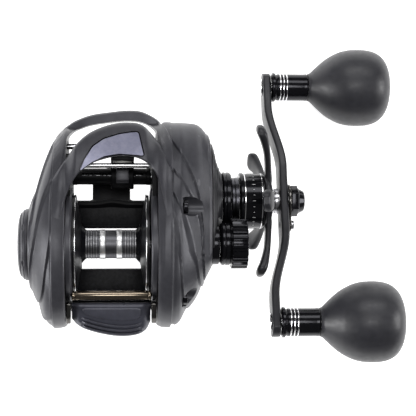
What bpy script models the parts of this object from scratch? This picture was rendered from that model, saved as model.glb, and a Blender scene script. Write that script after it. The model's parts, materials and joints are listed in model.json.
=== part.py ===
"""Low-profile baitcasting reel with a double power handle, as separate pieces.

Lengths are in millimetres and scaled to metres where a mesh is made. The origin
is the centre of the reel foot's underside. +X points to the handle, +Y to the
rod tip and +Z away from the rod. Every shaft runs along X, so an axis is given
as its (Y, Z) place, and a turned piece as (X, radius) points.
"""

import math

import bmesh
import bpy
from mathutils import Vector

MM = 0.001

# Axes of the shafts, as (Y, Z)
SPOOL_AXIS = (0.0, 26.5)
DRIVE_AXIS = (16.5, 13.6)
WORM_AXIS = (25.9, 20.5)
LOWER_ROD_AXIS = (37.4, 20.0)
UPPER_ROD_AXIS = (29.6, 36.0)
REAR_BAR_AXIS = (-18.7, 36.6)

# Frame
LEFT_WALL = (-16.9, -14.9)
RIGHT_WALL = (15.5, 17.6)
WALL_RING_RADIUS = 21.3
SPOOL_OPENING_RADIUS = 19.7
FLOOR_BOTTOM = 3.6
FLOOR_TOP = 6.0
FLOOR_FRONT = 16.6
FLOOR_REAR = -26.5
WINDOW_HALF_WIDTH = 11.8
WINDOW_REAR = -10.6
WINDOW_FRONT = 5.6

# Foot
FOOT_HALF_LENGTH = 30.0
FOOT_HALF_WIDTH = 7.5
FOOT_THICKNESS = 3.2
SADDLE_HALF_WIDTH = 14.5
WEB_REAR = -6.0
WEB_FRONT = 4.2

# Side plates: the planes of their inner rims
PALM_RIM = -17.2
GEAR_RIM = 17.9
PLATE_POWER = 2.4
PLATE_POINTS = 40

# Spool
SPOOL_RADIUS = 19.0
SPOOL_HALF_WIDTH = 14.5
ARBOR_RADIUS = 5.2
SHAFT_RADIUS = 1.25
SHAFT_BORE = 1.55

# Gears: teeth
MAIN_TEETH = 68
PINION_TEETH = 12
COG_TEETH = 22
WORM_GEAR_TEETH = 16

# Handle
HANDLE_TILT = math.radians(17.5)
KNOB_REACH = 48.8
ARM_THICKNESS = 3.1
ARM_CENTRE_FACE = 69.2
ARM_END_FACE = 64.3
STAR_REACH = 30.6
STAR_ARMS = 5
DRIVE_SHAFT_RADIUS = 3.3
DRIVE_BORE = 3.7

# Line guide at rest
GUIDE_MIDDLE = 4.35
GUIDE_HALF_WIDTH = 4.35

SIDEWAYS = (math.pi / 2, 0.0, math.pi / 2)

FINISHES = {
    "satin_black": ((0.055, 0.055, 0.062), 0.45, 0.6),
    "gloss_black": ((0.012, 0.012, 0.014), 0.18, 0.8),
    "graphite": ((0.085, 0.085, 0.098), 0.5, 0.3),
    "badge_blue": ((0.26, 0.27, 0.37), 0.35, 0.6),
    "steel": ((0.62, 0.62, 0.63), 0.28, 1.0),
    "dark_steel": ((0.17, 0.16, 0.15), 0.25, 1.0),
    "brass": ((0.72, 0.52, 0.23), 0.3, 1.0),
    "rubber": ((0.022, 0.022, 0.026), 0.62, 0.0),
    "carbon": ((0.03, 0.03, 0.03), 0.55, 0.0),
    "nylon": ((0.55, 0.53, 0.48), 0.55, 0.0),
    "ceramic": ((0.75, 0.74, 0.70), 0.2, 0.0),
}


# ---------------------------------------------------------------- tools

def new_collection(name, hidden=False):
    collection = bpy.data.collections.new(name)
    collection.hide_render = hidden
    bpy.context.scene.collection.children.link(collection)
    return collection


def clear_scene():
    for obj in list(bpy.data.objects):
        bpy.data.objects.remove(obj, do_unlink=True)


clear_scene()
REEL = new_collection("baitcasting_reel")
CUTTERS = new_collection("cutters", hidden=True)


def finish_of(name, finish):
    colour, roughness, metallic = FINISHES[finish]
    material = bpy.data.materials.new(name + "_finish")
    material.use_nodes = True
    material.diffuse_color = (*colour, 1.0)
    shader = material.node_tree.nodes["Principled BSDF"]
    shader.inputs["Base Color"].default_value = (*colour, 1.0)
    shader.inputs["Roughness"].default_value = roughness
    shader.inputs["Metallic"].default_value = metallic
    return material


def add_object(name, mesh, finish, place=(0.0, 0.0, 0.0), rotation=(0.0, 0.0, 0.0)):
    """Links a mesh as a piece of the reel, or as a cutter when it has no finish."""
    obj = bpy.data.objects.new(name, mesh)
    obj.location = Vector(place) * MM
    obj.rotation_euler = rotation
    if finish is None:
        CUTTERS.objects.link(obj)
        obj.hide_render = True
        obj.display_type = "WIRE"
        return obj
    REEL.objects.link(obj)
    mesh.materials.append(finish_of(name, finish))
    return obj


def mesh_from(name, bm, smooth_angle=35.0):
    mesh = bpy.data.meshes.new(name)
    bm.to_mesh(mesh)
    bm.free()
    mesh.shade_smooth()
    mesh.set_sharp_from_angle(angle=math.radians(smooth_angle))
    return mesh


def turned(name, outer, finish, axis, bore=None, steps=24):
    """Turns (X, radius) points about an X-wise axis. Both lists run towards +X."""
    path = list(reversed(outer))
    if bore:
        path += bore
    else:
        path = [(path[0][0], 0.0)] + path + [(path[-1][0], 0.0)]
    bm = bmesh.new()
    points = [bm.verts.new((radius * MM, 0.0, x * MM)) for x, radius in path]
    for start, end in zip(points, points[1:]):
        bm.edges.new((start, end))
    if bore:
        bm.edges.new((points[-1], points[0]))
    mesh = mesh_from(name, bm)
    obj = add_object(name, mesh, finish, (0.0, *axis), SIDEWAYS)
    screw = obj.modifiers.new("turn", "SCREW")
    screw.steps = steps
    screw.render_steps = steps
    screw.use_merge_vertices = True
    screw.merge_threshold = 0.00001
    screw.use_smooth_shade = True
    return obj


def flat(name, loops, span, finish, axis=(0.0, 0.0), turn=0.0):
    """Extrudes closed (Y, Z) loops about an axis between two X planes."""
    curve = bpy.data.curves.new(name, "CURVE")
    curve.dimensions = "2D"
    curve.fill_mode = "BOTH"
    curve.extrude = (span[1] - span[0]) / 2 * MM
    for loop in loops:
        spline = curve.splines.new("POLY")
        spline.points.add(len(loop) - 1)
        for point, (y, z) in zip(spline.points, loop):
            point.co = (y * MM, z * MM, 0.0, 1.0)
        spline.use_cyclic_u = True
    drawn = bpy.data.objects.new(name + "_drawn", curve)
    CUTTERS.objects.link(drawn)
    bpy.context.view_layer.update()
    graph = bpy.context.evaluated_depsgraph_get()
    mesh = bpy.data.meshes.new_from_object(drawn.evaluated_get(graph))
    bpy.data.objects.remove(drawn, do_unlink=True)
    bm = bmesh.new()
    bm.from_mesh(mesh)
    bmesh.ops.remove_doubles(bm, verts=bm.verts, dist=0.000005)
    bmesh.ops.recalc_face_normals(bm, faces=bm.faces)
    mesh = mesh_from(name, bm)
    middle = (span[0] + span[1]) / 2
    rotation = (SIDEWAYS[0] + turn, 0.0, SIDEWAYS[2])
    return add_object(name, mesh, finish, (middle, *axis), rotation)


def loft(name, rings, finish, origin=(0.0, 0.0, 0.0), endless=False):
    """Skins rings of (X, Y, Z) points. Endless lofts join the last ring to the first."""
    bm = bmesh.new()
    rows = [[bm.verts.new((Vector(p) - Vector(origin)) * MM) for p in ring] for ring in rings]
    pairs = list(zip(rows, rows[1:]))
    if endless:
        pairs.append((rows[-1], rows[0]))
    else:
        bm.faces.new(rows[0])
        bm.faces.new(rows[-1])
    for row, following in pairs:
        for index in range(len(row)):
            after = (index + 1) % len(row)
            bm.faces.new((row[index], row[after], following[after], following[index]))
    bmesh.ops.recalc_face_normals(bm, faces=bm.faces)
    return add_object(name, mesh_from(name, bm), finish, origin)


def block(name, low, high, finish, bevel=0.0):
    bm = bmesh.new()
    bmesh.ops.create_cube(bm, size=1.0)
    low = Vector(low)
    high = Vector(high)
    for vert in bm.verts:
        vert.co = Vector(low[i] + (vert.co[i] + 0.5) * (high[i] - low[i]) for i in range(3)) * MM
    obj = add_object(name, mesh_from(name, bm), finish)
    if bevel:
        rounding = obj.modifiers.new("edges", "BEVEL")
        rounding.width = bevel * MM
        rounding.segments = 2
    return obj


def boolean(obj, others, operation):
    for other in others:
        modifier = obj.modifiers.new(operation.lower(), "BOOLEAN")
        modifier.operation = operation
        modifier.solver = "EXACT"
        modifier.object = other
    return obj


def drill(name, axis, radius, span, steps=24):
    """A cutter that bores along X."""
    return turned(name, [(span[0], radius), (span[1], radius)], None, axis, steps=steps)


def circle(radius, middle=(0.0, 0.0), count=32):
    step = math.tau / count
    return [
        (middle[0] + radius * math.cos(step * i), middle[1] + radius * math.sin(step * i))
        for i in range(count)
    ]


def arc(radius, middle, start, end, count):
    """Points on an arc, with its angles in degrees from +Y towards +Z."""
    points = []
    for i in range(count + 1):
        angle = math.radians(start + (end - start) * i / count)
        points.append((middle[0] + radius * math.cos(angle), middle[1] + radius * math.sin(angle)))
    return points


def gear_outline(teeth, pitch_radius, phase=0.0):
    """Straight-flanked teeth whose middle lies at the phase angle, with clearance at the flanks."""
    module = 2 * pitch_radius / teeth
    pitch = math.tau / teeth
    shape = ((-0.24, -1.05), (-0.09, 0.85), (0.09, 0.85), (0.24, -1.05))
    points = []
    for tooth in range(teeth):
        for turn, height in shape:
            angle = phase + pitch * (tooth + turn)
            radius = pitch_radius + module * height
            points.append((radius * math.cos(angle), radius * math.sin(angle)))
    return points


def smooth_through(points, x):
    """Height at x of a smooth curve through a few (x, height) points."""
    index = 0
    while index < len(points) - 2 and x > points[index + 1][0]:
        index += 1
    left = points[index]
    right = points[index + 1]
    before = points[max(index - 1, 0)]
    after = points[min(index + 2, len(points) - 1)]
    width = right[0] - left[0]
    t = (x - left[0]) / width
    slope_left = (right[1] - before[1]) / (right[0] - before[0]) * width
    slope_right = (after[1] - left[1]) / (after[0] - left[0]) * width
    return (
        left[1] * (2 * t**3 - 3 * t**2 + 1)
        + slope_left * (t**3 - 2 * t**2 + t)
        + right[1] * (3 * t**2 - 2 * t**3)
        + slope_right * (t**3 - t**2)
    )


def egg_ring(x, rear, front, bottom, top, waist=19.0, crest=-2.0, keel=8.0, power=PLATE_POWER):
    """A rounded outline in the plane x, widest at the waist height."""
    ring = []
    for index in range(PLATE_POINTS):
        angle = math.tau * index / PLATE_POINTS
        across = math.cos(angle)
        up = math.sin(angle)
        middle = crest if up >= 0 else keel
        reach = front - middle if across >= 0 else middle - rear
        height = top - waist if up >= 0 else waist - bottom
        y = middle + math.copysign(abs(across) ** (2 / power), across) * reach
        z = waist + math.copysign(abs(up) ** (2 / power), up) * height
        ring.append((x, y, z))
    return ring


def round_ring(x, radius, axis=SPOOL_AXIS):
    return egg_ring(
        x, axis[0] - radius, axis[0] + radius, axis[1] - radius, axis[1] + radius,
        waist=axis[1], crest=axis[0], keel=axis[0], power=2.0,
    )


# ---------------------------------------------------------------- frame and covers

def wall_outline():
    """Side wall: a ring round the spool with a low nose that carries the shafts in front."""
    ring = arc(WALL_RING_RADIUS, SPOOL_AXIS, 32, 197, 30)
    rear = [(FLOOR_REAR, 14.0), (FLOOR_REAR, FLOOR_BOTTOM)]
    nose = [(31.0, FLOOR_BOTTOM), (34.2, 8.0), (34.2, 30.0), (30.6, 38.6), (27.0, 38.6)]
    return ring + rear + nose


def make_frame():
    frame = flat("frame", [wall_outline(), circle(SPOOL_OPENING_RADIUS, SPOOL_AXIS, 40)],
                 LEFT_WALL, "satin_black")
    right_holes = [
        circle(6.2, SPOOL_AXIS, 24),
        circle(4.4, DRIVE_AXIS, 20),
        circle(2.4, WORM_AXIS, 16),
    ]
    right = flat("right_wall", [wall_outline()] + right_holes, RIGHT_WALL, None)
    reach = (LEFT_WALL[1] - 0.6, RIGHT_WALL[0] + 0.6)
    floor = block("floor", (reach[0], FLOOR_REAR + 0.3, FLOOR_BOTTOM + 0.2),
                  (reach[1], FLOOR_FRONT, FLOOR_TOP), None)
    beam = block("front_beam", (reach[0], 23.0, 6.5), (reach[1], 28.6, 10.6), None)
    back = block("rear_beam", (reach[0], FLOOR_REAR + 0.3, FLOOR_TOP - 0.5),
                 (reach[1], FLOOR_REAR + 3.0, 12.6), None)
    window = block("window", (-WINDOW_HALF_WIDTH, WINDOW_REAR, 0.0),
                   (WINDOW_HALF_WIDTH, WINDOW_FRONT, 10.0), None)
    boolean(frame, [right, floor, beam, back], "UNION")
    boolean(frame, [window], "DIFFERENCE")


def foot_outline():
    """Plan of the foot: two rounded tongues that spread into a saddle under the floor."""
    tongue = FOOT_HALF_LENGTH - FOOT_HALF_WIDTH
    front = [(-y, x) for x, y in arc(FOOT_HALF_WIDTH, (tongue, 0.0), -90, 90, 12)]
    rear = [(-x, -y) for x, y in front]
    right = [(-FOOT_HALF_WIDTH, 17.2), (-SADDLE_HALF_WIDTH, 14.4),
             (-SADDLE_HALF_WIDTH, -16.0), (-FOOT_HALF_WIDTH, -19.0)]
    left = [(FOOT_HALF_WIDTH, -19.0), (SADDLE_HALF_WIDTH, -16.0),
            (SADDLE_HALF_WIDTH, 14.4), (FOOT_HALF_WIDTH, 17.2)]
    return front + right + rear + left


def make_foot():
    windows = [
        [(-WINDOW_HALF_WIDTH, low), (WINDOW_HALF_WIDTH, low),
         (WINDOW_HALF_WIDTH, high), (-WINDOW_HALF_WIDTH, high)]
        for low, high in ((WINDOW_REAR, WEB_REAR), (WEB_FRONT, WINDOW_FRONT))
    ]
    foot = flat("reel_foot", [foot_outline()] + windows, (0.0, FOOT_THICKNESS), "satin_black")
    foot.rotation_euler = (0.0, 0.0, 0.0)
    foot.location = Vector((0.0, 0.0, FOOT_THICKNESS / 2)) * MM
    slopes = []
    for side in (-1, 1):
        outline = [(side * 18.5, FOOT_THICKNESS + 1.0), (side * 18.5, FOOT_THICKNESS),
                   (side * 30.5, 1.3), (side * 30.5, FOOT_THICKNESS + 1.0)]
        slopes.append(flat(f"foot_slope_{side + 1}", [outline], (-9.0, 9.0), None))
    boolean(foot, slopes, "DIFFERENCE")


HOOD_ENDS = (-16.9, 17.6)
HOOD_FRONT = ((-16.9, 31.5), (-12.0, 38.0), (-7.3, 42.0), (0.0, 45.0),
              (6.4, 45.8), (12.1, 44.8), (17.6, 38.6))
HOOD_REAR = ((-16.9, 16.0), (-13.6, 23.7), (-9.4, 28.2), (-4.7, 30.6),
             (4.8, 32.9), (13.0, 30.8), (17.6, 25.0))
BADGE_ENDS = (-10.4, 11.2)
BADGE_FRONT = ((-10.4, 31.0), (-7.7, 36.5), (-2.9, 40.0), (3.6, 42.3), (9.1, 42.3), (11.2, 36.5))
BADGE_REAR = ((-10.4, 28.6), (-7.0, 30.4), (-2.3, 32.5), (2.3, 34.0), (7.1, 34.3), (11.2, 33.2))


def hood_height(x, y):
    return 47.0 - 0.0125 * (y - 12.0) ** 2 + 0.6 * (1 - (x / 17.0) ** 2)


def ribbon(name, ends, rear, front, low, high, finish, stations=22, lanes=4):
    """A curved band whose faces lie low and high of the hood's surface."""
    rings = []
    for i in range(stations + 1):
        x = ends[0] + (ends[1] - ends[0]) * i / stations
        start = smooth_through(rear, x)
        end = smooth_through(front, x)
        across = [start + (end - start) * lane / lanes for lane in range(lanes + 1)]
        upper = [(x, y, hood_height(x, y) + high) for y in across]
        lower = [(x, y, hood_height(x, y) + low) for y in reversed(across)]
        rings.append(upper + lower)
    return loft(name, rings, finish)


def make_hood():
    ribbon("hood", HOOD_ENDS, HOOD_REAR, HOOD_FRONT, -2.6, 0.0, "graphite")
    ribbon("badge_panel", BADGE_ENDS, BADGE_REAR, BADGE_FRONT, 0.3, 0.9, "badge_blue",
           stations=14, lanes=3)


NOSE_OUTER = ((-16.9, 45.5), (-13.8, 47.3), (-7.9, 49.3), (-0.5, 50.8),
              (6.5, 51.6), (12.0, 51.1), (17.6, 48.4))
NOSE_INNER = ((-16.9, 40.8), (-13.8, 43.0), (-7.9, 45.4), (-0.5, 46.9),
              (6.5, 47.5), (12.0, 47.1), (17.6, 43.6))


def make_nose_bar():
    rings = []
    stations = 20
    for i in range(stations + 1):
        x = HOOD_ENDS[0] + (HOOD_ENDS[1] - HOOD_ENDS[0]) * i / stations
        inner = smooth_through(NOSE_INNER, x)
        outer = smooth_through(NOSE_OUTER, x)
        rings.append([
            (x, inner, 14.6), (x, inner, 19.6), (x, inner + 0.8, 20.6), (x, outer - 1.2, 20.4),
            (x, outer, 18.6), (x, outer, 15.0), (x, outer - 1.2, 13.4), (x, inner + 0.8, 13.4),
        ])
    loft("nose_bar", rings, "graphite")


def make_palm_plate():
    """Left cover: a bowl with a round opening for the brake dial."""
    rings = [
        egg_ring(PALM_RIM, -31.9, 45.4, -3.0, 48.5),
        egg_ring(-19.5, -32.2, 44.0, -3.2, 48.6),
        egg_ring(-23.2, -31.9, 38.0, -2.2, 47.5, waist=20.0),
        egg_ring(-25.2, -29.4, 31.4, 0.6, 46.2, waist=21.0, keel=4.0),
        egg_ring(-28.0, -21.6, 22.2, 7.0, 44.2, waist=24.0, crest=-1.0, keel=1.0, power=2.2),
        egg_ring(-30.3, -16.6, 15.0, 11.2, 41.8, waist=26.5, crest=-0.6, keel=0.0, power=2.0),
        round_ring(-30.3, 12.4),
        round_ring(-28.8, 12.4),
        egg_ring(-26.4, -18.8, 19.4, 8.8, 41.9, waist=24.0, crest=-1.0, keel=1.0, power=2.2),
        egg_ring(-23.8, -27.4, 28.8, 2.6, 43.6, waist=21.0, keel=4.0),
        egg_ring(-21.4, -29.8, 37.0, -0.4, 45.6, waist=20.0),
        egg_ring(PALM_RIM, -30.0, 43.4, -1.2, 46.7),
    ]
    loft("palm_side_plate", rings, "graphite", endless=True)


SCREW_AXES = {"upper": (14.3, 43.9), "rear": (-19.5, 38.4)}
POCKET_FLOOR = 26.4
POCKET_RADIUS = 3.6


def make_gear_plate():
    """Right cover: a deep gearbox bowl, open where the gear cover closes it."""
    rings = [
        egg_ring(GEAR_RIM, -31.9, 48.5, -4.5, 48.5),
        egg_ring(20.3, -32.0, 47.0, -5.0, 48.6),
        egg_ring(23.5, -31.9, 46.9, -5.8, 48.3),
        egg_ring(26.1, -30.1, 46.8, -6.6, 47.2),
        egg_ring(28.9, -25.3, 46.7, -7.0, 45.4, keel=12.0),
        egg_ring(32.3, -22.0, 46.5, -7.0, 43.0, keel=12.0),
        egg_ring(34.4, -19.4, 45.5, -6.4, 41.0, keel=12.0),
        egg_ring(35.9, -15.5, 44.2, -5.6, 39.4, keel=12.0),
        egg_ring(37.4, -12.6, 42.1, -4.2, 37.6, keel=12.0),
        egg_ring(38.1, -11.2, 39.0, -2.6, 36.4, keel=12.0, crest=2.0),
        egg_ring(38.1, -6.6, 34.6, -0.5, 33.4, keel=12.0, crest=8.0),
        egg_ring(36.4, -6.6, 34.6, -0.5, 33.4, keel=12.0, crest=8.0),
        egg_ring(36.1, -9.0, 38.5, -2.8, 34.2, keel=12.0, crest=6.0),
        egg_ring(34.0, -12.0, 42.0, -4.6, 36.0, keel=12.0),
        egg_ring(27.2, -13.6, 44.6, -5.4, 37.8, keel=12.0),
        egg_ring(25.2, -15.0, 44.9, -5.6, 42.6, keel=12.0),
        egg_ring(22.5, -28.4, 45.0, -4.2, 45.9),
        egg_ring(GEAR_RIM, -29.9, 46.6, -2.8, 46.6),
    ]
    plate = loft("handle_side_plate", rings, "graphite", endless=True)
    cutters = [drill("tension_seat", SPOOL_AXIS, 5.8, (34.5, 39.0))]
    for name, axis in SCREW_AXES.items():
        cutters.append(drill(f"pocket_{name}", axis, POCKET_RADIUS, (POCKET_FLOOR, 42.0)))
        cutters.append(drill(f"screw_hole_{name}", axis, 1.6, (16.0, POCKET_FLOOR + 1.0), 16))
    boolean(plate, cutters, "DIFFERENCE")


def make_gear_cover():
    """Outer cap of the gearbox, with a boss on the drive axis and a hole for the tension knob."""
    rings = [
        egg_ring(38.4, -9.4, 37.3, -1.4, 35.4, keel=12.0, crest=6.0),
        egg_ring(39.2, -9.0, 37.0, -1.0, 35.0, keel=12.0, crest=6.0),
        egg_ring(40.0, -7.4, 35.9, 0.0, 33.9, keel=12.0, crest=6.0),
        egg_ring(40.4, 3.2, 33.8, 0.8, 29.8, waist=13.6, keel=15.0, crest=15.0, power=2.0),
        round_ring(42.8, 11.6, DRIVE_AXIS),
        round_ring(42.8, 8.9, DRIVE_AXIS),
        round_ring(38.4, 8.9, DRIVE_AXIS),
    ]
    cover = loft("gear_cover", rings, "graphite", endless=True)
    boolean(cover, [drill("tension_hole", SPOOL_AXIS, 5.8, (34.0, 44.0))], "DIFFERENCE")


def make_side_screws():
    for name, axis in SCREW_AXES.items():
        screw = turned(
            f"side_screw_{name}",
            [(18.4, 1.3), (POCKET_FLOOR + 0.3, 1.3), (POCKET_FLOOR + 0.3, 2.6),
             (POCKET_FLOOR + 1.6, 2.6), (POCKET_FLOOR + 2.0, 2.2)],
            "dark_steel", axis, steps=20,
        )
        slot = block(f"slot_{name}", (POCKET_FLOOR + 1.3, axis[0] - 3.0, axis[1] - 0.35),
                     (POCKET_FLOOR + 2.6, axis[0] + 3.0, axis[1] + 0.35), None)
        boolean(screw, [slot], "DIFFERENCE")


# ---------------------------------------------------------------- brakes and spool

def make_brakes():
    turned("brake_plate", [(-21.6, 17.6), (-19.6, 18.6)], "nylon", SPOOL_AXIS,
           bore=[(-21.6, 5.4), (-19.6, 5.4)], steps=28)
    turned("magnet_ring", [(-19.3, 13.0), (-18.7, 13.0)], "steel", SPOOL_AXIS,
           bore=[(-19.3, 9.0), (-18.7, 9.0)])
    turned("brake_rotor", [(-18.2, 14.2), (-17.4, 14.2), (-17.4, 4.0), (-15.1, 4.0)], "brass",
           SPOOL_AXIS, bore=[(-18.2, SHAFT_BORE), (-15.1, SHAFT_BORE)])
    dial = turned(
        "brake_dial",
        [(-34.4, 11.4), (-33.8, 12.9), (-32.6, 13.6), (-30.7, 13.6), (-30.6, 12.1), (-28.8, 12.1)],
        "graphite", SPOOL_AXIS, bore=[(-34.4, 5.2), (-33.0, 4.6), (-33.0, 2.0), (-28.8, 2.0)],
        steps=30,
    )
    notches = []
    for index in range(6):
        angle = math.tau * index / 6
        middle = (SPOOL_AXIS[0] + 15.6 * math.cos(angle), SPOOL_AXIS[1] + 15.6 * math.sin(angle))
        notches.append(drill(f"dial_notch_{index}", middle, 2.9, (-35.4, -31.6), 16))
    boolean(dial, notches, "DIFFERENCE")


def make_spool():
    half = [
        (9.1, ARBOR_RADIUS), (11.2, 7.6), (12.3, 14.6), (13.4, 18.4), (13.6, SPOOL_RADIUS),
        (SPOOL_HALF_WIDTH, SPOOL_RADIUS),
    ]
    left = [(-x, radius) for x, radius in reversed(half)]
    recess = [(14.5, SHAFT_BORE), (14.5, 3.6), (12.6, 4.4), (12.4, 7.6), (13.4, 15.0), (14.5, 17.6)]
    bore = [(-x, radius) for x, radius in reversed(recess)] + recess
    turned("spool", left + half, "gloss_black", SPOOL_AXIS, bore=bore, steps=32)
    turned("spool_shaft", [(-24.8, SHAFT_RADIUS), (36.8, SHAFT_RADIUS)], "steel", SPOOL_AXIS,
           steps=16)
    turned("spool_bearing_left", [(-24.4, 5.0), (-21.9, 5.0)], "steel", SPOOL_AXIS,
           bore=[(-24.4, SHAFT_BORE), (-21.9, SHAFT_BORE)], steps=20)
    turned("spool_bearing_right", [(34.2, 4.3), (36.7, 4.3)], "steel", SPOOL_AXIS,
           bore=[(34.2, SHAFT_BORE), (36.7, SHAFT_BORE)], steps=20)


# ---------------------------------------------------------------- gear train and clutch

def axis_distance(first, second):
    return math.dist(first, second)


def gear_radii(driver, driven, first_axis, second_axis):
    """Pitch radii of two meshed gears from their teeth and axes."""
    distance = axis_distance(first_axis, second_axis)
    return distance * driver / (driver + driven), distance * driven / (driver + driven)


def facing(first_axis, second_axis):
    return math.atan2(second_axis[1] - first_axis[1], second_axis[0] - first_axis[0])


def make_gears():
    main_radius, pinion_radius = gear_radii(MAIN_TEETH, PINION_TEETH, DRIVE_AXIS, SPOOL_AXIS)
    cog_radius, worm_radius = gear_radii(COG_TEETH, WORM_GEAR_TEETH, DRIVE_AXIS, WORM_AXIS)
    to_spool = facing(DRIVE_AXIS, SPOOL_AXIS)
    to_worm = facing(DRIVE_AXIS, WORM_AXIS)
    flat("main_gear", [gear_outline(MAIN_TEETH, main_radius, to_spool), circle(4.4, count=16)],
         (24.6, 27.2), "brass", DRIVE_AXIS)
    half_tooth = math.pi / PINION_TEETH
    pinion = flat("pinion",
                  [gear_outline(PINION_TEETH, pinion_radius, to_spool + math.pi + half_tooth)],
                  (22.8, 31.0), "brass", SPOOL_AXIS)
    neck = turned("pinion_neck",
                  [(18.4, 3.0), (20.0, 3.0), (20.0, 2.3), (22.0, 2.3), (22.0, 3.2), (22.9, 3.2)],
                  None, SPOOL_AXIS, steps=24)
    boolean(pinion, [neck], "UNION")
    boolean(pinion, [drill("pinion_bore", SPOOL_AXIS, 1.6, (17.0, 33.0), 16)], "DIFFERENCE")
    flat("drive_cog", [gear_outline(COG_TEETH, cog_radius, to_worm), circle(4.4, count=16)],
         (19.0, 21.2), "nylon", DRIVE_AXIS)
    half_tooth = math.pi / WORM_GEAR_TEETH
    flat("worm_gear",
         [gear_outline(WORM_GEAR_TEETH, worm_radius, to_worm + math.pi + half_tooth),
          circle(2.2, count=16)],
         (19.0, 21.2), "nylon", WORM_AXIS)
    flat("ratchet_wheel", [ratchet_outline(12, 9.0, 10.6), circle(4.4, count=16)],
         (22.3, 23.5), "steel", DRIVE_AXIS)
    turned("drag_washer", [(27.5, 14.4), (28.3, 14.4)], "carbon", DRIVE_AXIS,
           bore=[(27.5, 4.4), (28.3, 4.4)])
    turned("pressure_plate", [(28.6, 13.8), (29.6, 13.8)], "steel", DRIVE_AXIS,
           bore=[(28.6, 4.4), (29.6, 4.4)])


def ratchet_outline(teeth, root, tip):
    points = []
    for tooth in range(teeth):
        for share, radius in ((0.0, tip), (0.75, root), (0.98, root)):
            angle = math.tau * (tooth + share) / teeth
            points.append((radius * math.cos(angle), radius * math.sin(angle)))
    return points


def make_clutch():
    cam = [(9.4 * math.cos(a), 9.4 * math.sin(a)) for a in
           (math.radians(-162 + 324 * i / 24) for i in range(25))]
    arm = [(-19.6, 2.6), (-20.6, 1.6), (-20.6, -1.6), (-19.6, -2.6)]
    flat("clutch_cam", [cam + arm, circle(3.5, count=20)], (18.1, 19.5), "steel", SPOOL_AXIS)
    fork = [(3.4, 2.7), (3.4, 11.6), (-7.2, 11.6), (-7.2, -11.6), (3.4, -11.6), (3.4, -2.7)]
    notch = arc(2.7, (0.0, 0.0), 270, 90, 10)
    flat("clutch_yoke", [fork + notch], (20.4, 21.6), "nylon", SPOOL_AXIS)
    for name, height in (("upper", 7.6), ("lower", -9.0)):
        make_spring(f"yoke_spring_{name}", (-4.0, SPOOL_AXIS[1] + height))


def make_spring(name, axis):
    """A short compression spring that pushes the yoke home."""
    turns = 4
    per_turn = 8
    low = 22.3
    high = 29.5
    curve = bpy.data.curves.new(name, "CURVE")
    curve.dimensions = "3D"
    curve.bevel_depth = 0.3 * MM
    curve.bevel_resolution = 1
    curve.use_fill_caps = True
    spline = curve.splines.new("POLY")
    count = turns * per_turn
    spline.points.add(count)
    for index, point in enumerate(spline.points):
        angle = math.tau * index / per_turn
        x = low + (high - low) * index / count
        point.co = (x * MM, 2.2 * math.cos(angle) * MM, 2.2 * math.sin(angle) * MM, 1.0)
    curve.materials.append(finish_of(name, "steel"))
    obj = bpy.data.objects.new(name, curve)
    obj.location = Vector((0.0, *axis)) * MM
    REEL.objects.link(obj)


# ---------------------------------------------------------------- level wind

def make_level_wind():
    tube = turned("worm_tube", [(-14.6, 3.3), (15.2, 3.3)], "satin_black", WORM_AXIS,
                  bore=[(-14.6, 2.6), (15.2, 2.6)], steps=24)
    slot = block("tube_slot", (-12.6, WORM_AXIS[0] - 1.1, WORM_AXIS[1] - 5.0),
                 (13.2, WORM_AXIS[0] + 1.1, WORM_AXIS[1]), None)
    boolean(tube, [slot], "DIFFERENCE")
    turned("worm_shaft", [(-14.5, 1.9), (21.4, 1.9)], "steel", WORM_AXIS, steps=20)
    turned("lower_guide_rod", [(-16.9, 1.1), (17.6, 1.1)], "steel", LOWER_ROD_AXIS, steps=16)
    turned("upper_guide_rod", [(-14.6, 1.0), (15.2, 1.0)], "steel", UPPER_ROD_AXIS, steps=16)
    make_line_guide()


EYE_AXIS = (GUIDE_MIDDLE, 32.0)
EYE_FRONT = 33.8
EYE_BACK = 31.3


def make_line_guide():
    """The carriage on the worm tube, with an arm up to the eye that the line runs through."""
    hub = arc(4.9, WORM_AXIS, 60, 330, 20)
    arm = [(31.6, 20.0), (EYE_FRONT, 23.0), (EYE_FRONT, 36.9), (EYE_BACK, 36.9), (EYE_BACK, 29.0)]
    span = (GUIDE_MIDDLE - GUIDE_HALF_WIDTH, GUIDE_MIDDLE + GUIDE_HALF_WIDTH)
    guide = flat("line_guide", [hub + arm, circle(3.6, WORM_AXIS, 24)], span, "satin_black",
                 SPOOL_AXIS)
    guide.location = Vector(((span[0] + span[1]) / 2, 0.0, 0.0)) * MM
    eye = turned("eye_hole", [(28.0, 3.8), (36.0, 3.8)], None, (0.0, 0.0), steps=24)
    stand_on_y(eye, EYE_AXIS)
    boolean(guide, [eye], "DIFFERENCE")
    insert = turned("guide_insert", [(30.7, 3.5), (34.4, 3.5)],
                    "ceramic", (0.0, 0.0),
                    bore=[(30.7, 2.95), (34.4, 2.95)], steps=20)
    stand_on_y(insert, EYE_AXIS)
    pawl = turned("guide_pawl", [(-0.2, 0.9), (1.1, 0.9)], "brass", (0.0, 0.0), steps=12)
    pawl.rotation_euler = (0.0, 0.0, 0.0)
    pawl.location = Vector((GUIDE_MIDDLE, WORM_AXIS[0], WORM_AXIS[1] - 3.2)) * MM


def stand_on_y(obj, axis):
    """Turns a piece that was made along X so that it lies along Y at an (X, Z) place."""
    obj.rotation_euler = (-math.pi / 2, 0.0, 0.0)
    obj.location = Vector((axis[0], 0.0, axis[1])) * MM


# ---------------------------------------------------------------- thumb bar

THUMB_ENDS = (-14.5, 14.8)
THUMB_REAR = ((-14.5, -29.6), (-9.8, -32.5), (-3.0, -34.2), (3.9, -34.9),
              (9.9, -34.2), (14.8, -30.4))


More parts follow.
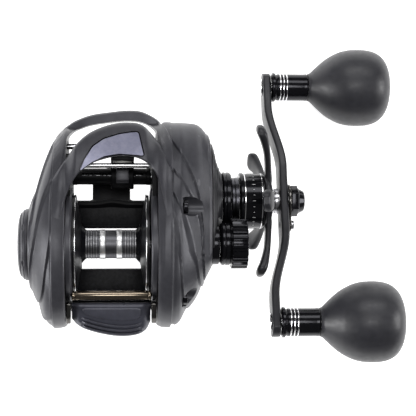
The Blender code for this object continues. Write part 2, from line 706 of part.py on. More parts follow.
def make_thumb_bar():
    rings = []
    stations = 20
    for i in range(stations + 1):
        x = THUMB_ENDS[0] + (THUMB_ENDS[1] - THUMB_ENDS[0]) * i / stations
        rear = smooth_through(THUMB_REAR, x)
        rings.append([
            (x, -21.3, 33.4), (x, -21.3, 37.0), (x, -22.4, 38.0), (x, rear + 5.6, 36.4),
            (x, rear + 1.6, 34.6), (x, rear, 32.4), (x, rear + 1.0, 30.0), (x, -26.0, 30.4),
        ])
    loft("thumb_bar", rings, "graphite")
    link = [(-22.2, 27.0), (-21.2, 37.4), (-21.8, 38.3), (-25.4, 37.2), (-25.6, 27.0)]
    flat("thumb_link_left", [link], (-16.7, -14.9), "dark_steel")
    flat("thumb_link_right", [link], (15.2, 17.0), "dark_steel")
    turned("rear_bar", [(-14.5, 1.85), (15.1, 1.85)], "dark_steel", REAR_BAR_AXIS, steps=20)


# ---------------------------------------------------------------- drive stack and drag

def make_drive_stack():
    turned("drive_shaft",
           [(18.2, 4.0), (31.0, 4.0), (31.0, DRIVE_SHAFT_RADIUS), (74.4, DRIVE_SHAFT_RADIUS)],
           "steel", DRIVE_AXIS, steps=24)
    turned("anti_reverse_bearing", [(33.2, 8.4), (42.4, 8.4)], "steel", DRIVE_AXIS,
           bore=[(33.2, DRIVE_BORE), (42.4, DRIVE_BORE)], steps=24)
    turned("bearing_cover", [(43.1, 10.8), (43.6, 11.4), (46.2, 11.4), (46.7, 11.0)],
           "satin_black", DRIVE_AXIS, bore=[(43.1, DRIVE_BORE), (46.7, DRIVE_BORE)], steps=28)
    turned("drive_spacer", [(47.0, 9.2), (49.6, 9.4)], "satin_black", DRIVE_AXIS,
           bore=[(47.0, DRIVE_BORE), (49.6, DRIVE_BORE)], steps=24)
    turned("handle_spacer", [(63.0, 5.0), (65.7, 5.0)], "steel", DRIVE_AXIS,
           bore=[(63.0, DRIVE_BORE), (65.7, DRIVE_BORE)], steps=24)


def make_star_drag():
    turned("star_hub", [(49.9, 10.9), (50.3, 11.2), (51.2, 11.2), (51.5, 10.9), (59.0, 10.9),
                        (59.4, 10.5)],
           "satin_black", DRIVE_AXIS, bore=[(49.9, DRIVE_BORE), (59.4, DRIVE_BORE)], steps=28)
    wheel = turned("star_wheel", [(59.7, 10.2), (60.4, 10.4), (62.6, 8.0)], "satin_black",
                   DRIVE_AXIS, steps=25)
    arms = []
    for index in range(STAR_ARMS):
        arms.append(star_arm(index, math.tau * index / STAR_ARMS))
    boolean(wheel, arms, "UNION")
    bore = drill("star_bore", DRIVE_AXIS, DRIVE_BORE, (50.0, 70.0))
    boolean(wheel, [bore], "DIFFERENCE")


def star_arm(index, lean):
    """One paddle of the star, straight up before it is turned by the lean angle."""
    sections = ((5.0, 61.2, 3.2, 2.2), (12.0, 61.4, 2.6, 2.0), (20.0, 60.8, 2.6, 2.2),
                (25.0, 59.4, 3.4, 3.0), (28.6, 58.1, 4.0, 3.8), (STAR_REACH, 57.5, 2.6, 2.8))
    rings = []
    for radius, middle, half_width, thickness in sections:
        half = thickness / 2
        corner = 0.62
        shape = [(-half_width, -half * corner), (-half_width * 0.75, -half),
                 (half_width * 0.75, -half), (half_width, -half * corner),
                 (half_width, half * corner), (half_width * 0.75, half),
                 (-half_width * 0.75, half), (-half_width, half * corner)]
        rings.append([turn_about_drive(middle + dx, across, radius, lean) for across, dx in shape])
    return loft(f"star_arm_{index}", rings, None)


def turn_about_drive(x, across, up, angle):
    """A point given across and up from the drive axis, turned about that axis."""
    y = across * math.cos(angle) - up * math.sin(angle)
    z = across * math.sin(angle) + up * math.cos(angle)
    return (x, DRIVE_AXIS[0] + y, DRIVE_AXIS[1] + z)


def make_tension_knob():
    turned("tension_base", [(32.0, 5.4), (40.4, 5.4)], "brass", SPOOL_AXIS,
           bore=[(32.0, 4.6), (40.4, 4.6)], steps=24)
    ribs = []
    count = 20
    for index in range(count):
        for share, radius in ((0.0, 9.5), (0.45, 9.5), (0.55, 8.9), (0.9, 8.9)):
            angle = math.tau * (index + share) / count
            ribs.append((radius * math.cos(angle), radius * math.sin(angle)))
    knob = flat("tension_knob", [ribs], (45.8, 51.8), "satin_black", SPOOL_AXIS)
    body = turned("tension_body", [(41.2, 6.6), (42.3, 8.2), (45.0, 8.2), (45.2, 7.8), (46.6, 7.8)],
                  None, SPOOL_AXIS, steps=24)
    hollow = drill("tension_hollow", SPOOL_AXIS, 5.7, (40.0, 50.0))
    boolean(knob, [body], "UNION")
    boolean(knob, [hollow], "DIFFERENCE")


# ---------------------------------------------------------------- handle

def handle_point(x, along, across):
    """A point on the handle: along it from the drive axis, positive to the rod tip."""
    y = along * math.cos(HANDLE_TILT) + across * math.sin(HANDLE_TILT)
    z = -along * math.sin(HANDLE_TILT) + across * math.cos(HANDLE_TILT)
    return (x, DRIVE_AXIS[0] + y, DRIVE_AXIS[1] + z)


def handle_axis(along):
    point = handle_point(0.0, along, 0.0)
    return (point[1], point[2])


def arm_face(along):
    """X of the arm's outer face, which bends back between its middle and its ends."""
    share = min(max((abs(along) - 14.0) / 25.0, 0.0), 1.0)
    share = share * share * (3 - 2 * share)
    return ARM_CENTRE_FACE + (ARM_END_FACE - ARM_CENTRE_FACE) * share


def arm_half_width(along):
    end = KNOB_REACH + 5.6
    waist = 4.9 + 2.6 * math.exp(-((along / 12.0) ** 2))
    return min(waist, math.sqrt(max(5.6**2 - max(abs(along) - KNOB_REACH, 0.0) ** 2, 0.6)))


def make_handle_arm():
    rings = []
    stations = 28
    reach = KNOB_REACH + 5.5
    for i in range(stations + 1):
        share = -math.cos(math.pi * i / stations)
        along = reach * (0.72 * share + 0.28 * share**3)
        half = arm_half_width(along)
        face = arm_face(along)
        back = face - ARM_THICKNESS
        shape = [(back, 0.85), (back + 0.5, 1.0), (face - 0.7, 1.0), (face, 0.8),
                 (face, -0.8), (face - 0.7, -1.0), (back + 0.5, -1.0), (back, -0.85)]
        rings.append([handle_point(x, along, part * half) for x, part in shape])
    arm = loft("handle_arm", rings, "graphite", origin=(0.0, *DRIVE_AXIS))
    holes = [drill("arm_hole_middle", DRIVE_AXIS, DRIVE_BORE, (50.0, 80.0))]
    for name, along in (("front", KNOB_REACH), ("rear", -KNOB_REACH)):
        holes.append(drill(f"arm_hole_{name}", handle_axis(along), 2.7, (50.0, 80.0)))
    holes.append(drill("arm_hole_screw", handle_axis(-9.9), 1.2, (50.0, 80.0), 12))
    boolean(arm, holes, "DIFFERENCE")


def make_handle_nut():
    plate = [handle_flat(along, across) for along, across in
             arc(6.6, (0.0, 0.0), -140, 140, 22) + arc(2.6, (-9.9, 0.0), 110, 250, 10)]
    flat("handle_washer", [plate, circle(DRIVE_BORE, count=20),
                           circle(1.2, handle_flat(-9.9, 0.0), 12)],
         (69.5, 70.3), "dark_steel", DRIVE_AXIS)
    hexagon = circle(6.2, count=6)
    nut = flat("handle_nut", [hexagon], (70.7, 73.4), "gloss_black", DRIVE_AXIS)
    cap = turned("nut_cap", [(73.0, 5.2), (73.8, 5.0), (75.6, 3.9), (76.0, 3.4)], None,
                 DRIVE_AXIS, steps=24)
    boolean(nut, [cap], "UNION")
    boolean(nut, [drill("nut_thread", DRIVE_AXIS, DRIVE_BORE, (60.0, 74.8))], "DIFFERENCE")
    turned("nut_screw", [(66.6, 0.85), (70.6, 0.85), (70.6, 1.75), (71.5, 1.6)], "steel",
           handle_axis(-9.9), steps=16)


def handle_flat(along, across):
    point = handle_point(0.0, along, across)
    return (point[1] - DRIVE_AXIS[0], point[2] - DRIVE_AXIS[1])


def make_knobs():
    for name, along in (("front", KNOB_REACH), ("rear", -KNOB_REACH)):
        axis = handle_axis(along)
        turned(f"knob_post_{name}",
               [(59.9, 2.4), (60.2, 3.5), (60.9, 3.6), (60.9, 2.4), (84.0, 2.4)],
               "steel", axis, steps=20)
        turned(f"knob_sleeve_{name}",
               [(64.7, 5.2), (65.1, 5.9), (66.3, 5.9), (66.7, 5.3), (78.0, 5.4), (79.5, 5.5)],
               "gloss_black", axis, bore=[(64.7, 2.7), (79.5, 2.7)], steps=24)
        turned(f"knob_{name}",
               [(79.8, 5.6), (82.2, 7.4), (84.9, 10.0), (88.0, 12.2), (92.2, 14.1),
                (97.6, 15.2), (103.4, 15.2), (107.9, 13.6), (111.0, 10.6), (112.3, 6.0)],
               "rubber", axis, steps=24)
        boolean(bpy.data.objects[f"knob_{name}"],
                [drill(f"knob_bore_{name}", axis, 2.7, (70.0, 84.4))], "DIFFERENCE")


make_frame()
make_foot()
make_hood()
make_nose_bar()
make_palm_plate()
make_gear_plate()
make_gear_cover()
make_side_screws()
make_brakes()
make_spool()
make_gears()
make_clutch()
make_level_wind()
make_thumb_bar()
make_drive_stack()
make_star_drag()
make_tension_knob()
make_handle_arm()
make_handle_nut()
make_knobs()
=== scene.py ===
"""Looks of the baitcasting reel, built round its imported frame.

Lengths are in millimetres and scaled to metres where a mesh is made. A shaft's
axis comes from its joint, and a turned piece's ends from the box of its node.
The side plates, hood, nose bar, thumb bar and paddles are freer forms: tables
of stations in the same frame, with smooth curves drawn through them.
"""

import json
import math

import bmesh
import bpy
from mathutils import Matrix, Vector


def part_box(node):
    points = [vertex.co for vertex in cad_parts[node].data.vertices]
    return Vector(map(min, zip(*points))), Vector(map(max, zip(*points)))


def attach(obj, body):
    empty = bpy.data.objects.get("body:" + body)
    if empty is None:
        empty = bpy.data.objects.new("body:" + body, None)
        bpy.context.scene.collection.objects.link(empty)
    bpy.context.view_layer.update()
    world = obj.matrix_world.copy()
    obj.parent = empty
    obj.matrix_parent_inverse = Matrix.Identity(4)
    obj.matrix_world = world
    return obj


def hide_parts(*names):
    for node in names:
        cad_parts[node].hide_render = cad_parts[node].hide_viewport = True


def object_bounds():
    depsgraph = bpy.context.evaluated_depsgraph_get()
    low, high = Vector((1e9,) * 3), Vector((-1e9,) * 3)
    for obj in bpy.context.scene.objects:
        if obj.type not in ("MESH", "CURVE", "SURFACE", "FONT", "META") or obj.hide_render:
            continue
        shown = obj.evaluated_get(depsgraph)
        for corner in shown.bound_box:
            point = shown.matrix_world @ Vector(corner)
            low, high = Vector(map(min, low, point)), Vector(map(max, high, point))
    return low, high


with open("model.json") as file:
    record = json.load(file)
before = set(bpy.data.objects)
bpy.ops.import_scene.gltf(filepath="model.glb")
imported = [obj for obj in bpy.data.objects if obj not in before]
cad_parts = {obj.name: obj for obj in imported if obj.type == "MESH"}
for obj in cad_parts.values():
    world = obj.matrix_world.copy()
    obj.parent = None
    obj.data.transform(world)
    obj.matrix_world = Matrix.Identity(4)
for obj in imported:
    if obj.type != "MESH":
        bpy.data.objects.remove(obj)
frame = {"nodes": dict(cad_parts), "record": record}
CAD_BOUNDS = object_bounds()

MM = 0.001
JOINTS = {joint["name"]: joint for joint in frame["record"]["behaviour"]["joints"]}


def axis_of(joint):
    """(Y, Z) of a shaft along X, in millimetres."""
    return tuple(value / MM for value in JOINTS[joint]["pos_m"][1:])


SPOOL_AXIS = axis_of("spool_spin")
DRIVE_AXIS = axis_of("handle_turn")
WORM_AXIS = axis_of("worm_spin")
KNOB_AXES = {"front": axis_of("knob_front_spin"), "rear": axis_of("knob_rear_spin")}


def box_of(node):
    """(lowest, highest) corners of a node's box, in millimetres."""
    low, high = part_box(node)
    return Vector(low) / MM, Vector(high) / MM


def middle_of(node):
    low, high = box_of(node)
    return (low + high) / 2


def span_of(node):
    """(lowest, highest) X of a node."""
    low, high = box_of(node)
    return low.x, high.x


def round_box(node):
    """(lowest X, highest X, axis, radius) of a node turned about an X-wise axis."""
    low, high = box_of(node)
    middle = (low + high) / 2
    return low.x, high.x, (middle.y, middle.z), (high.z - low.z) / 2


# ---------------------------------------------------------------- materials

class Shader:
    """A Principled material with a few procedural layers added by name."""

    def __init__(self, name, colour, roughness, metallic=0.0, coat=0.0, specular=0.5):
        self.material = bpy.data.materials.new(name)
        self.material.use_nodes = True
        self.tree = self.material.node_tree
        self.main = self.tree.nodes["Principled BSDF"]
        self.colour = colour
        self.roughness = roughness
        self.fill(self.main, {
            "Base Color": (*colour, 1.0), "Roughness": roughness, "Metallic": metallic,
            "Specular IOR Level": specular, "Coat Weight": coat, "Coat Roughness": 0.25,
        })
        self.place = self.add("ShaderNodeTexCoord").outputs["Object"]
        self.normal = None

    def fill(self, node, inputs):
        """Sets a node's inputs by name, each to a value or to another node's output."""
        for key, value in inputs.items():
            if isinstance(value, bpy.types.NodeSocket):
                self.tree.links.new(value, node.inputs[key])
            else:
                node.inputs[key].default_value = value

    def add(self, kind, inputs=None, **settings):
        node = self.tree.nodes.new(kind)
        for key, value in settings.items():
            setattr(node, key, value)
        self.fill(node, inputs or {})
        return node

    def noise(self, scale, detail=3.0, stretch=(1.0, 1.0, 1.0)):
        mapping = self.add("ShaderNodeMapping", {"Vector": self.place, "Scale": stretch})
        inputs = {"Vector": mapping.outputs["Vector"], "Scale": scale, "Detail": detail}
        return self.add("ShaderNodeTexNoise", inputs).outputs["Fac"]

    def spread(self, source, low, high):
        """Maps a noise of about 0.3 to 0.7 onto low to high."""
        inputs = {"Value": source, "From Min": 0.3, "From Max": 0.7, "To Min": low, "To Max": high}
        return self.add("ShaderNodeMapRange", inputs).outputs["Result"]

    def blend(self, share, first, second):
        inputs = {"Factor": share, "A": first, "B": second}
        return self.add("ShaderNodeMix", inputs, data_type="RGBA").outputs["Result"]

    def tint(self, source, amount, edge_highlight=None):
        """Varies the colour by a share either way, and lightens sharp edges with a painted
        highlight.
        """
        dark = tuple(c * (1 - amount) for c in self.colour)
        light = tuple(min(c * (1 + amount), 1.0) for c in self.colour)
        out = self.blend(self.spread(source, 0.0, 1.0), (*dark, 1.0), (*light, 1.0))
        if edge_highlight:
            out = self.highlight_edges(out, edge_highlight)
        self.fill(self.main, {"Base Color": out})

    def highlight_edges(self, colour_in, edge_highlight):
        """Painted highlight: sharp convex edges lightened towards the highlight colour, broken up
        by a noise.
        """
        edge = self.add("ShaderNodeNewGeometry").outputs["Pointiness"]
        ramp = self.add("ShaderNodeMapRange", {"Value": edge, "From Min": 0.515, "From Max": 0.6})
        patch = self.spread(self.noise(900.0, 4.0), 0.1, 0.9)
        product = self.add("ShaderNodeMath", {0: ramp.outputs["Result"], 1: patch},
                           operation="MULTIPLY")
        return self.blend(product.outputs[0], colour_in, (*edge_highlight, 1.0))

    def rough(self, source, amount):
        low = max(self.roughness - amount, 0.03)
        self.fill(self.main, {"Roughness": self.spread(source, low, self.roughness + amount)})

    def bump(self, source, strength, depth):
        inputs = {"Height": source, "Strength": strength, "Distance": depth * MM}
        if self.normal:
            inputs["Normal"] = self.normal
        self.normal = self.add("ShaderNodeBump", inputs).outputs["Normal"]
        self.fill(self.main, {"Normal": self.normal})


def paint(name, colour, roughness=0.42, metallic=0.25, edge_highlight=(0.11, 0.11, 0.12), specular=0.35):
    """Satin paint with fine metal flake, and a painted highlight on its sharp edges."""
    shader = Shader(name, colour, roughness, metallic, 0.03, specular)
    shader.tint(shader.noise(420.0, 5.0), 0.10, edge_highlight)
    shader.rough(shader.noise(160.0, 4.0), 0.05)
    shader.bump(shader.noise(5200.0, 2.0), 0.25, 0.02)
    shader.bump(shader.noise(700.0, 3.0), 0.12, 0.03)
    return shader.material


def turned_metal(name, colour, roughness, metallic=1.0):
    """Metal with fine lathe lines that run round the X axis."""
    shader = Shader(name, colour, roughness, metallic)
    shader.tint(shader.noise(300.0, 3.0, (12.0, 0.5, 0.5)), 0.1)
    shader.rough(shader.noise(900.0, 3.0, (8.0, 0.2, 0.2)), 0.04)
    shader.bump(shader.noise(2200.0, 2.0, (6.0, 0.04, 0.04)), 0.1, 0.006)
    return shader.material


def moulded(name, colour, roughness, grain=2600.0, depth=0.03):
    """Moulded plastic or foam rubber with a fine grain."""
    shader = Shader(name, colour, roughness)
    shader.tint(shader.noise(240.0, 5.0), 0.12)
    shader.rough(shader.noise(500.0, 3.0), 0.06)
    shader.bump(shader.noise(grain, 3.0), 0.35, depth)
    return shader.material


def woven(name, colour, roughness):
    """Crossed fibres of a drag washer."""
    shader = Shader(name, colour, roughness)
    for direction in "YZ":
        wave = shader.add("ShaderNodeTexWave", {"Vector": shader.place, "Scale": 900.0},
                          wave_type="BANDS", bands_direction=direction)
        shader.bump(wave.outputs["Fac"], 0.4, 0.05)
    shader.tint(shader.noise(800.0), 0.2)
    return shader.material


# Each paint lightens its sharp edges towards a second, lighter colour: a painted highlight.
GRAPHITE = paint("graphite_paint", (0.047, 0.047, 0.055), 0.38)
GRAPHITE_DARK = paint("graphite_dark", (0.024, 0.024, 0.028), 0.34, edge_highlight=(0.07, 0.07, 0.075))
BLUE_GRAPHITE = paint("blue_graphite", (0.056, 0.057, 0.074), 0.32)
SATIN = paint("satin_black", (0.004, 0.004, 0.005), 0.5, 0.0, edge_highlight=(0.02, 0.02, 0.023),
              specular=0.12)
SPOOL_BLACK = paint("spool_black", (0.006, 0.006, 0.008), 0.34, 0.0, edge_highlight=(0.02, 0.02, 0.023),
                    specular=0.22)
ARBOR = turned_metal("grey_arbor", (0.12, 0.12, 0.13), 0.42)
GROOVE = turned_metal("groove_line", (0.3, 0.3, 0.31), 0.42)
BRIGHT = turned_metal("bright_band", (0.9, 0.9, 0.91), 0.4)
BADGE_METAL = paint("badge_anodised", (0.20, 0.205, 0.285), 0.36, 0.4, edge_highlight=(0.28, 0.28, 0.36))
GLOSS = turned_metal("black_anodised", (0.010, 0.010, 0.013), 0.14, 0.6)
POLISHED = turned_metal("polished_alloy", (0.80, 0.80, 0.81), 0.14)
STEEL = turned_metal("steel", (0.52, 0.52, 0.54), 0.24)
NICKEL = turned_metal("dark_nickel", (0.12, 0.115, 0.11), 0.22)
BRONZE = turned_metal("bronze_chrome", (0.20, 0.165, 0.125), 0.16)
SPACER = turned_metal("grey_anodised", (0.06, 0.06, 0.068), 0.28)
BRASS = turned_metal("brass", (0.72, 0.52, 0.23), 0.28)
RUBBER = moulded("grip_rubber", (0.022, 0.022, 0.027), 0.42, 3200.0, 0.012)
NYLON = moulded("natural_nylon", (0.55, 0.53, 0.48), 0.5)
CERAMIC = moulded("ceramic", (0.72, 0.71, 0.68), 0.15, 900.0, 0.004)
TICK_PAINT = moulded("tick_paint", (0.62, 0.62, 0.62), 0.5)
CARBON = woven("drag_fibre", (0.03, 0.03, 0.032), 0.5)

# The CAD nodes that no visible piece stands for.
CAD_FINISHES = (
    (STEEL, "spool_shaft", "spool_bearing_left", "spool_bearing_right", "magnet_ring",
     "anti_reverse_bearing", "clutch_cam", "drive_shaft", "ratchet_wheel", "pressure_plate"),
    (BRASS, "brake_rotor", "pinion", "main_gear", "guide_pawl"),
    (NYLON, "brake_plate", "clutch_yoke", "drive_cog", "worm_gear"),
    (CARBON, "drag_washer"),
)

for finish, *shown_nodes in CAD_FINISHES:
    for shown in shown_nodes:
        for material_slot in frame["nodes"][shown].material_slots:
            material_slot.material = finish


# ---------------------------------------------------------------- outlines

def spaced(start, end, gaps):
    """Evenly spaced values from start to end, both included."""
    return [start + (end - start) * i / gaps for i in range(gaps + 1)]


def full_turn(count):
    """The angles of even steps round a circle."""
    return [math.tau * step / count for step in range(count)]


def on_circle(middle, radius, angle):
    """(Y, Z) of a point round a middle, with its angle from +Y towards +Z."""
    return (middle[0] + radius * math.cos(angle), middle[1] + radius * math.sin(angle))


def circle(radius, middle=(0.0, 0.0), count=96):
    return [on_circle(middle, radius, angle) for angle in full_turn(count)]


def arc(radius, middle, start, end, count):
    """Points on an arc between two angles in degrees."""
    return [on_circle(middle, radius, math.radians(angle)) for angle in spaced(start, end, count)]


def eased(points, radius, segments=3, closed=True):
    """The outline as tuples, with each corner rounded off as far as its two sides allow."""
    points = [Vector(point) for point in points]
    count = len(points)
    out = []
    for index, corner in enumerate(points):
        if not closed and index in (0, count - 1):
            out.append(tuple(corner))
            continue
        before = points[index - 1] - corner
        after = points[(index + 1) % count] - corner
        if before.length < 1e-6 or after.length < 1e-6:
            continue
        cut = min(radius, 0.45 * before.length, 0.45 * after.length)
        start = corner + before.normalized() * cut
        end = corner + after.normalized() * cut
        for step in range(segments + 1):
            t = step / segments
            out.append(tuple((1 - t) ** 2 * start + 2 * t * (1 - t) * corner + t * t * end))
    return out


def smooth_through(points, x):
    """Height at x of a smooth curve through a few (x, height) points."""
    index = 0
    while index < len(points) - 2 and x > points[index + 1][0]:
        index += 1
    left = points[index]
    right = points[index + 1]
    before = points[max(index - 1, 0)]
    after = points[min(index + 2, len(points) - 1)]
    width = right[0] - left[0]
    t = (x - left[0]) / width
    slope_left = (right[1] - before[1]) / (right[0] - before[0]) * width
    slope_right = (after[1] - left[1]) / (after[0] - left[0]) * width
    return (
        left[1] * (2 * t**3 - 3 * t**2 + 1)
        + slope_left * (t**3 - 2 * t**2 + t)
        + right[1] * (3 * t**2 - 2 * t**3)
        + slope_right * (t**3 - t**2)
    )


def eased_step(low, high, value):
    """0 below low and 1 above high, with a smooth rise between."""
    share = min(max((value - low) / (high - low), 0.0), 1.0)
    return share * share * (3 - 2 * share)


# ---------------------------------------------------------------- mesh tools

def mesh_from(name, bm, smooth_angle=38.0):
    bmesh.ops.recalc_face_normals(bm, faces=bm.faces)
    mesh = bpy.data.meshes.new(name)
    bm.to_mesh(mesh)
    bm.free()
    mesh.shade_smooth()
    mesh.set_sharp_from_angle(angle=math.radians(smooth_angle))
    return mesh


def join_rings(bm, first, second):
    """Faces between two rings of vertices, either of which may be a single point."""
    count = max(len(first), len(second))
    for step in range(count):
        after = (step + 1) % count
        if len(first) == 1:
            bm.faces.new((first[0], second[step], second[after]))
        elif len(second) == 1:
            bm.faces.new((first[step], first[after], second[0]))
        else:
            bm.faces.new((first[step], first[after], second[after], second[step]))


def lathe(profile, axis, steps=120, closed=False):
    """Turns (X, radius) points about an X-wise axis. An open profile is closed at the axis."""
    if not closed:
        profile = [(profile[0][0], 0.0), *profile, (profile[-1][0], 0.0)]
    bm = bmesh.new()
    rings = []
    for x, radius in profile:
        angles = full_turn(steps if radius > 1e-6 else 1)
        points = [(x, *on_circle(axis, radius, angle)) for angle in angles]
        rings.append([bm.verts.new([value * MM for value in point]) for point in points])
    for first, second in zip(rings, rings[1:] + rings[:1] * closed):
        join_rings(bm, first, second)
    return bm


def skin(rings, endless=False):
    """Skins rings of (X, Y, Z) points, with flat ends unless the last joins the first."""
    bm = bmesh.new()
    rows = [[bm.verts.new(Vector(point) * MM) for point in ring] for ring in rings]
    if not endless:
        bm.faces.new(rows[0])
        bm.faces.new(rows[-1])
    for first, second in zip(rows, rows[1:] + rows[:1] * endless):
        join_rings(bm, first, second)
    return bm


def section_ring(x, section, radius, segments=3):
    """A ring in the plane x from a (Y, Z) section with its corners rounded off."""
    return [(x, y, z) for y, z in eased(section, radius, segments)]


def slab(name, loops, span, edge=0.25, axis=(0.0, 0.0)):
    """bmesh of closed (Y, Z) loops, extruded between two X planes with rounded edges."""
    curve = bpy.data.curves.new(name, "CURVE")
    curve.dimensions = "2D"
    curve.fill_mode = "BOTH"
    curve.bevel_depth = edge * MM
    curve.bevel_resolution = 2
    curve.offset = -edge * MM
    curve.extrude = ((span[1] - span[0]) / 2 - edge) * MM
    for loop in loops:
        spline = curve.splines.new("POLY")
        spline.points.add(len(loop) - 1)
        for point, (y, z) in zip(spline.points, loop):
            point.co = (y * MM, z * MM, 0.0, 1.0)
        spline.use_cyclic_u = True
    drawn = bpy.data.objects.new(name + "_drawn", curve)
    bpy.context.scene.collection.objects.link(drawn)
    bpy.context.view_layer.update()
    graph = bpy.context.evaluated_depsgraph_get()
    mesh = bpy.data.meshes.new_from_object(drawn.evaluated_get(graph))
    bpy.data.objects.remove(drawn, do_unlink=True)
    bm = bmesh.new()
    bm.from_mesh(mesh)
    bmesh.ops.remove_doubles(bm, verts=bm.verts, dist=0.000004)
    middle = (span[0] + span[1]) / 2
    for vert in bm.verts:
        y, z, x = vert.co
        vert.co = (x + middle * MM, y + axis[0] * MM, z + axis[1] * MM)
    return bm


def block(low, high, edge=0.3, segments=3):
    bm = bmesh.new()
    bmesh.ops.create_cube(bm, size=1.0)
    for vert in bm.verts:
        vert.co = Vector(low[i] + (vert.co[i] + 0.5) * (high[i] - low[i]) for i in range(3)) * MM
    bmesh.ops.bevel(bm, geom=bm.edges[:] + bm.verts[:], offset=edge * MM, segments=segments,
                    affect="EDGES", profile=0.5)
    return bm


def merged(*parts):
    """One bmesh of several closed forms that run into each other."""
    whole = bmesh.new()
    for part in parts:
        mesh = bpy.data.meshes.new("part")
        bmesh.ops.recalc_face_normals(part, faces=part.faces)
        part.to_mesh(mesh)
        part.free()
        whole.from_mesh(mesh)
        bpy.data.meshes.remove(mesh)
    return whole


def piece(name, bm, material, body, slot, *nodes, smooth_angle=38.0):
    """A visible piece that rides on a body and stands for CAD nodes."""
    mesh = mesh_from(name, bm, smooth_angle)
    mesh.materials.append(material)
    obj = bpy.data.objects.new(name, mesh)
    bpy.context.scene.collection.objects.link(obj)
    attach(obj, body)
    if nodes:
        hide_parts(*nodes)
    return obj


def carved(bm, cutters):
    """The bmesh after cutting each cutter's bmesh out of it."""
    target = bpy.data.objects.new("carved", mesh_from("carved", bm))
    bpy.context.scene.collection.objects.link(target)
    tools = []
    for cutter in cutters:
        tool = bpy.data.objects.new("cutter", mesh_from("cutter", cutter))
        bpy.context.scene.collection.objects.link(tool)
        modifier = target.modifiers.new("cut", "BOOLEAN")
        modifier.operation = "DIFFERENCE"
        modifier.solver = "EXACT"
        modifier.object = tool
        tools.append(tool)
    bpy.context.view_layer.update()
    graph = bpy.context.evaluated_depsgraph_get()
    result = bmesh.new()
    result.from_mesh(target.evaluated_get(graph).to_mesh())
    for obj in tools + [target]:
        bpy.data.objects.remove(obj, do_unlink=True)
    return result


# ---------------------------------------------------------------- stage, light and camera

def make_stage():
    low, high = (Vector(corner) for corner in CAD_BOUNDS)
    middle = (low + high) / 2
    bm = bmesh.new()
    bmesh.ops.create_grid(bm, x_segments=8, y_segments=8, size=4.0)
    mesh = mesh_from("floor", bm)
    floor = bpy.data.objects.new("floor", mesh)
    floor.location = (middle.x, middle.y, low.z - 0.0002)
    bpy.context.scene.collection.objects.link(floor)
    shader = Shader("pale_floor", (0.9, 0.9, 0.9), 0.7)
    shader.tint(shader.noise(3.0), 0.01)
    shader.main.inputs["Emission Color"].default_value = (1.0, 1.0, 1.0, 1.0)
    shader.main.inputs["Emission Strength"].default_value = 0.9
    mesh.materials.append(shader.material)


def softbox(name, place, aim, size, power):
    data = bpy.data.lights.new(name, "AREA")
    data.shape = "RECTANGLE"
    data.size, data.size_y = size
    data.energy = power
    light = bpy.data.objects.new(name, data)
    light.location = place
    light.rotation_euler = (Vector(aim) - Vector(place)).to_track_quat("-Z", "Y").to_euler()
    bpy.context.scene.collection.objects.link(light)


def make_lights():
    aim = (0.03, 0.01, 0.02)
    softbox("left_panel", (-1.0, -0.15, 0.4), aim, (0.5, 0.5), 9.0)
    softbox("right_panel", (1.05, 0.05, 0.5), aim, (0.5, 0.5), 7.0)
    softbox("front_panel", (0.05, 0.9, 0.8), aim, (0.9, 0.4), 4.5)
    softbox("overhead", (0.02, 0.12, 1.1), aim, (0.4, 0.3), 2.6)
    world = bpy.data.worlds.new("studio")
    world.use_nodes = True
    background = world.node_tree.nodes["Background"]
    background.inputs["Color"].default_value = (1.0, 1.0, 1.0, 1.0)
    background.inputs["Strength"].default_value = 0.13
    bpy.context.scene.world = world
    bpy.context.scene.view_settings.view_transform = "Standard"


CAMERA_OVER = (3.4, 13.75)
CAMERA_AIM = (37.0, 13.75)
CAMERA_DISTANCE = 437.0
LENS = 99.1


def make_camera():
    """Looks down on the reel from the side away from the rod, leaning towards the handle."""
    spool_low, spool_high = box_of("spool")
    level = (spool_low.z + spool_high.z) / 2
    eye = Vector((*CAMERA_OVER, level + CAMERA_DISTANCE))
    aim = Vector((*CAMERA_AIM, level))
    forward = (aim - eye).normalized()
    up = Vector((0.0, 1.0, 0.0))
    right = forward.cross(up).normalized()
    data = bpy.data.cameras.new("view")
    data.sensor_width = 36.0
    data.lens = LENS
    data.clip_start = 0.01
    camera = bpy.data.objects.new("view", data)
    turn = Matrix((right, right.cross(forward), -forward)).transposed()
    camera.matrix_world = Matrix.Translation(eye * MM) @ turn.to_4x4()
    bpy.context.scene.collection.objects.link(camera)
    bpy.context.scene.camera = camera


make_stage()
make_lights()
make_camera()


# ---------------------------------------------------------------- side plates

def egg_point(ring, angle):
    """A point of an egg, with its angle from +Y towards +Z."""
    x, rear, front, bottom, top, waist, crest, keel, power, brow = ring
    across = math.cos(angle)
    up = math.sin(angle)
    if across > 0 and up > 0:
        power = brow
    middle = crest if up >= 0 else keel
    reach = front - middle if across >= 0 else middle - rear
    height = top - waist if up >= 0 else waist - bottom
    return (
        x,
        middle + math.copysign(abs(across) ** (2 / power), across) * reach,
        waist + math.copysign(abs(up) ** (2 / power), up) * height,
    )


def egg_loop(ring, count):
    return [Vector(egg_point(ring, angle)) for angle in full_turn(count)]


def egg(x, rear, front, bottom, top, waist=19.0, crest=-2.0, keel=8.0, power=2.4, brow=None):
    """A rounded outline in the plane x, given by its four extremes.

    It is widest at the waist, highest at the crest and lowest at the keel. The brow is the
    power of its upper front quarter, where that differs from the rest.
    """
    return (x, rear, front, bottom, top, waist, crest, keel, power, brow or power)


def egg_height(ring, y):
    """Height of an egg's upper half at y."""
    rear, front, _, top, waist, crest, _, power, brow = ring[1:]
    if y > crest:
        share = min((y - crest) / (front - crest), 1.0)
        power = brow
    else:
        share = min((crest - y) / (crest - rear), 1.0)
    return waist + (top - waist) * (1 - share**power) ** (1 / power)


def round_egg(x, radius, axis):
    return egg(x, axis[0] - radius, axis[0] + radius, axis[1] - radius, axis[1] + radius,
               waist=axis[1], crest=axis[0], keel=axis[0], power=2.0)


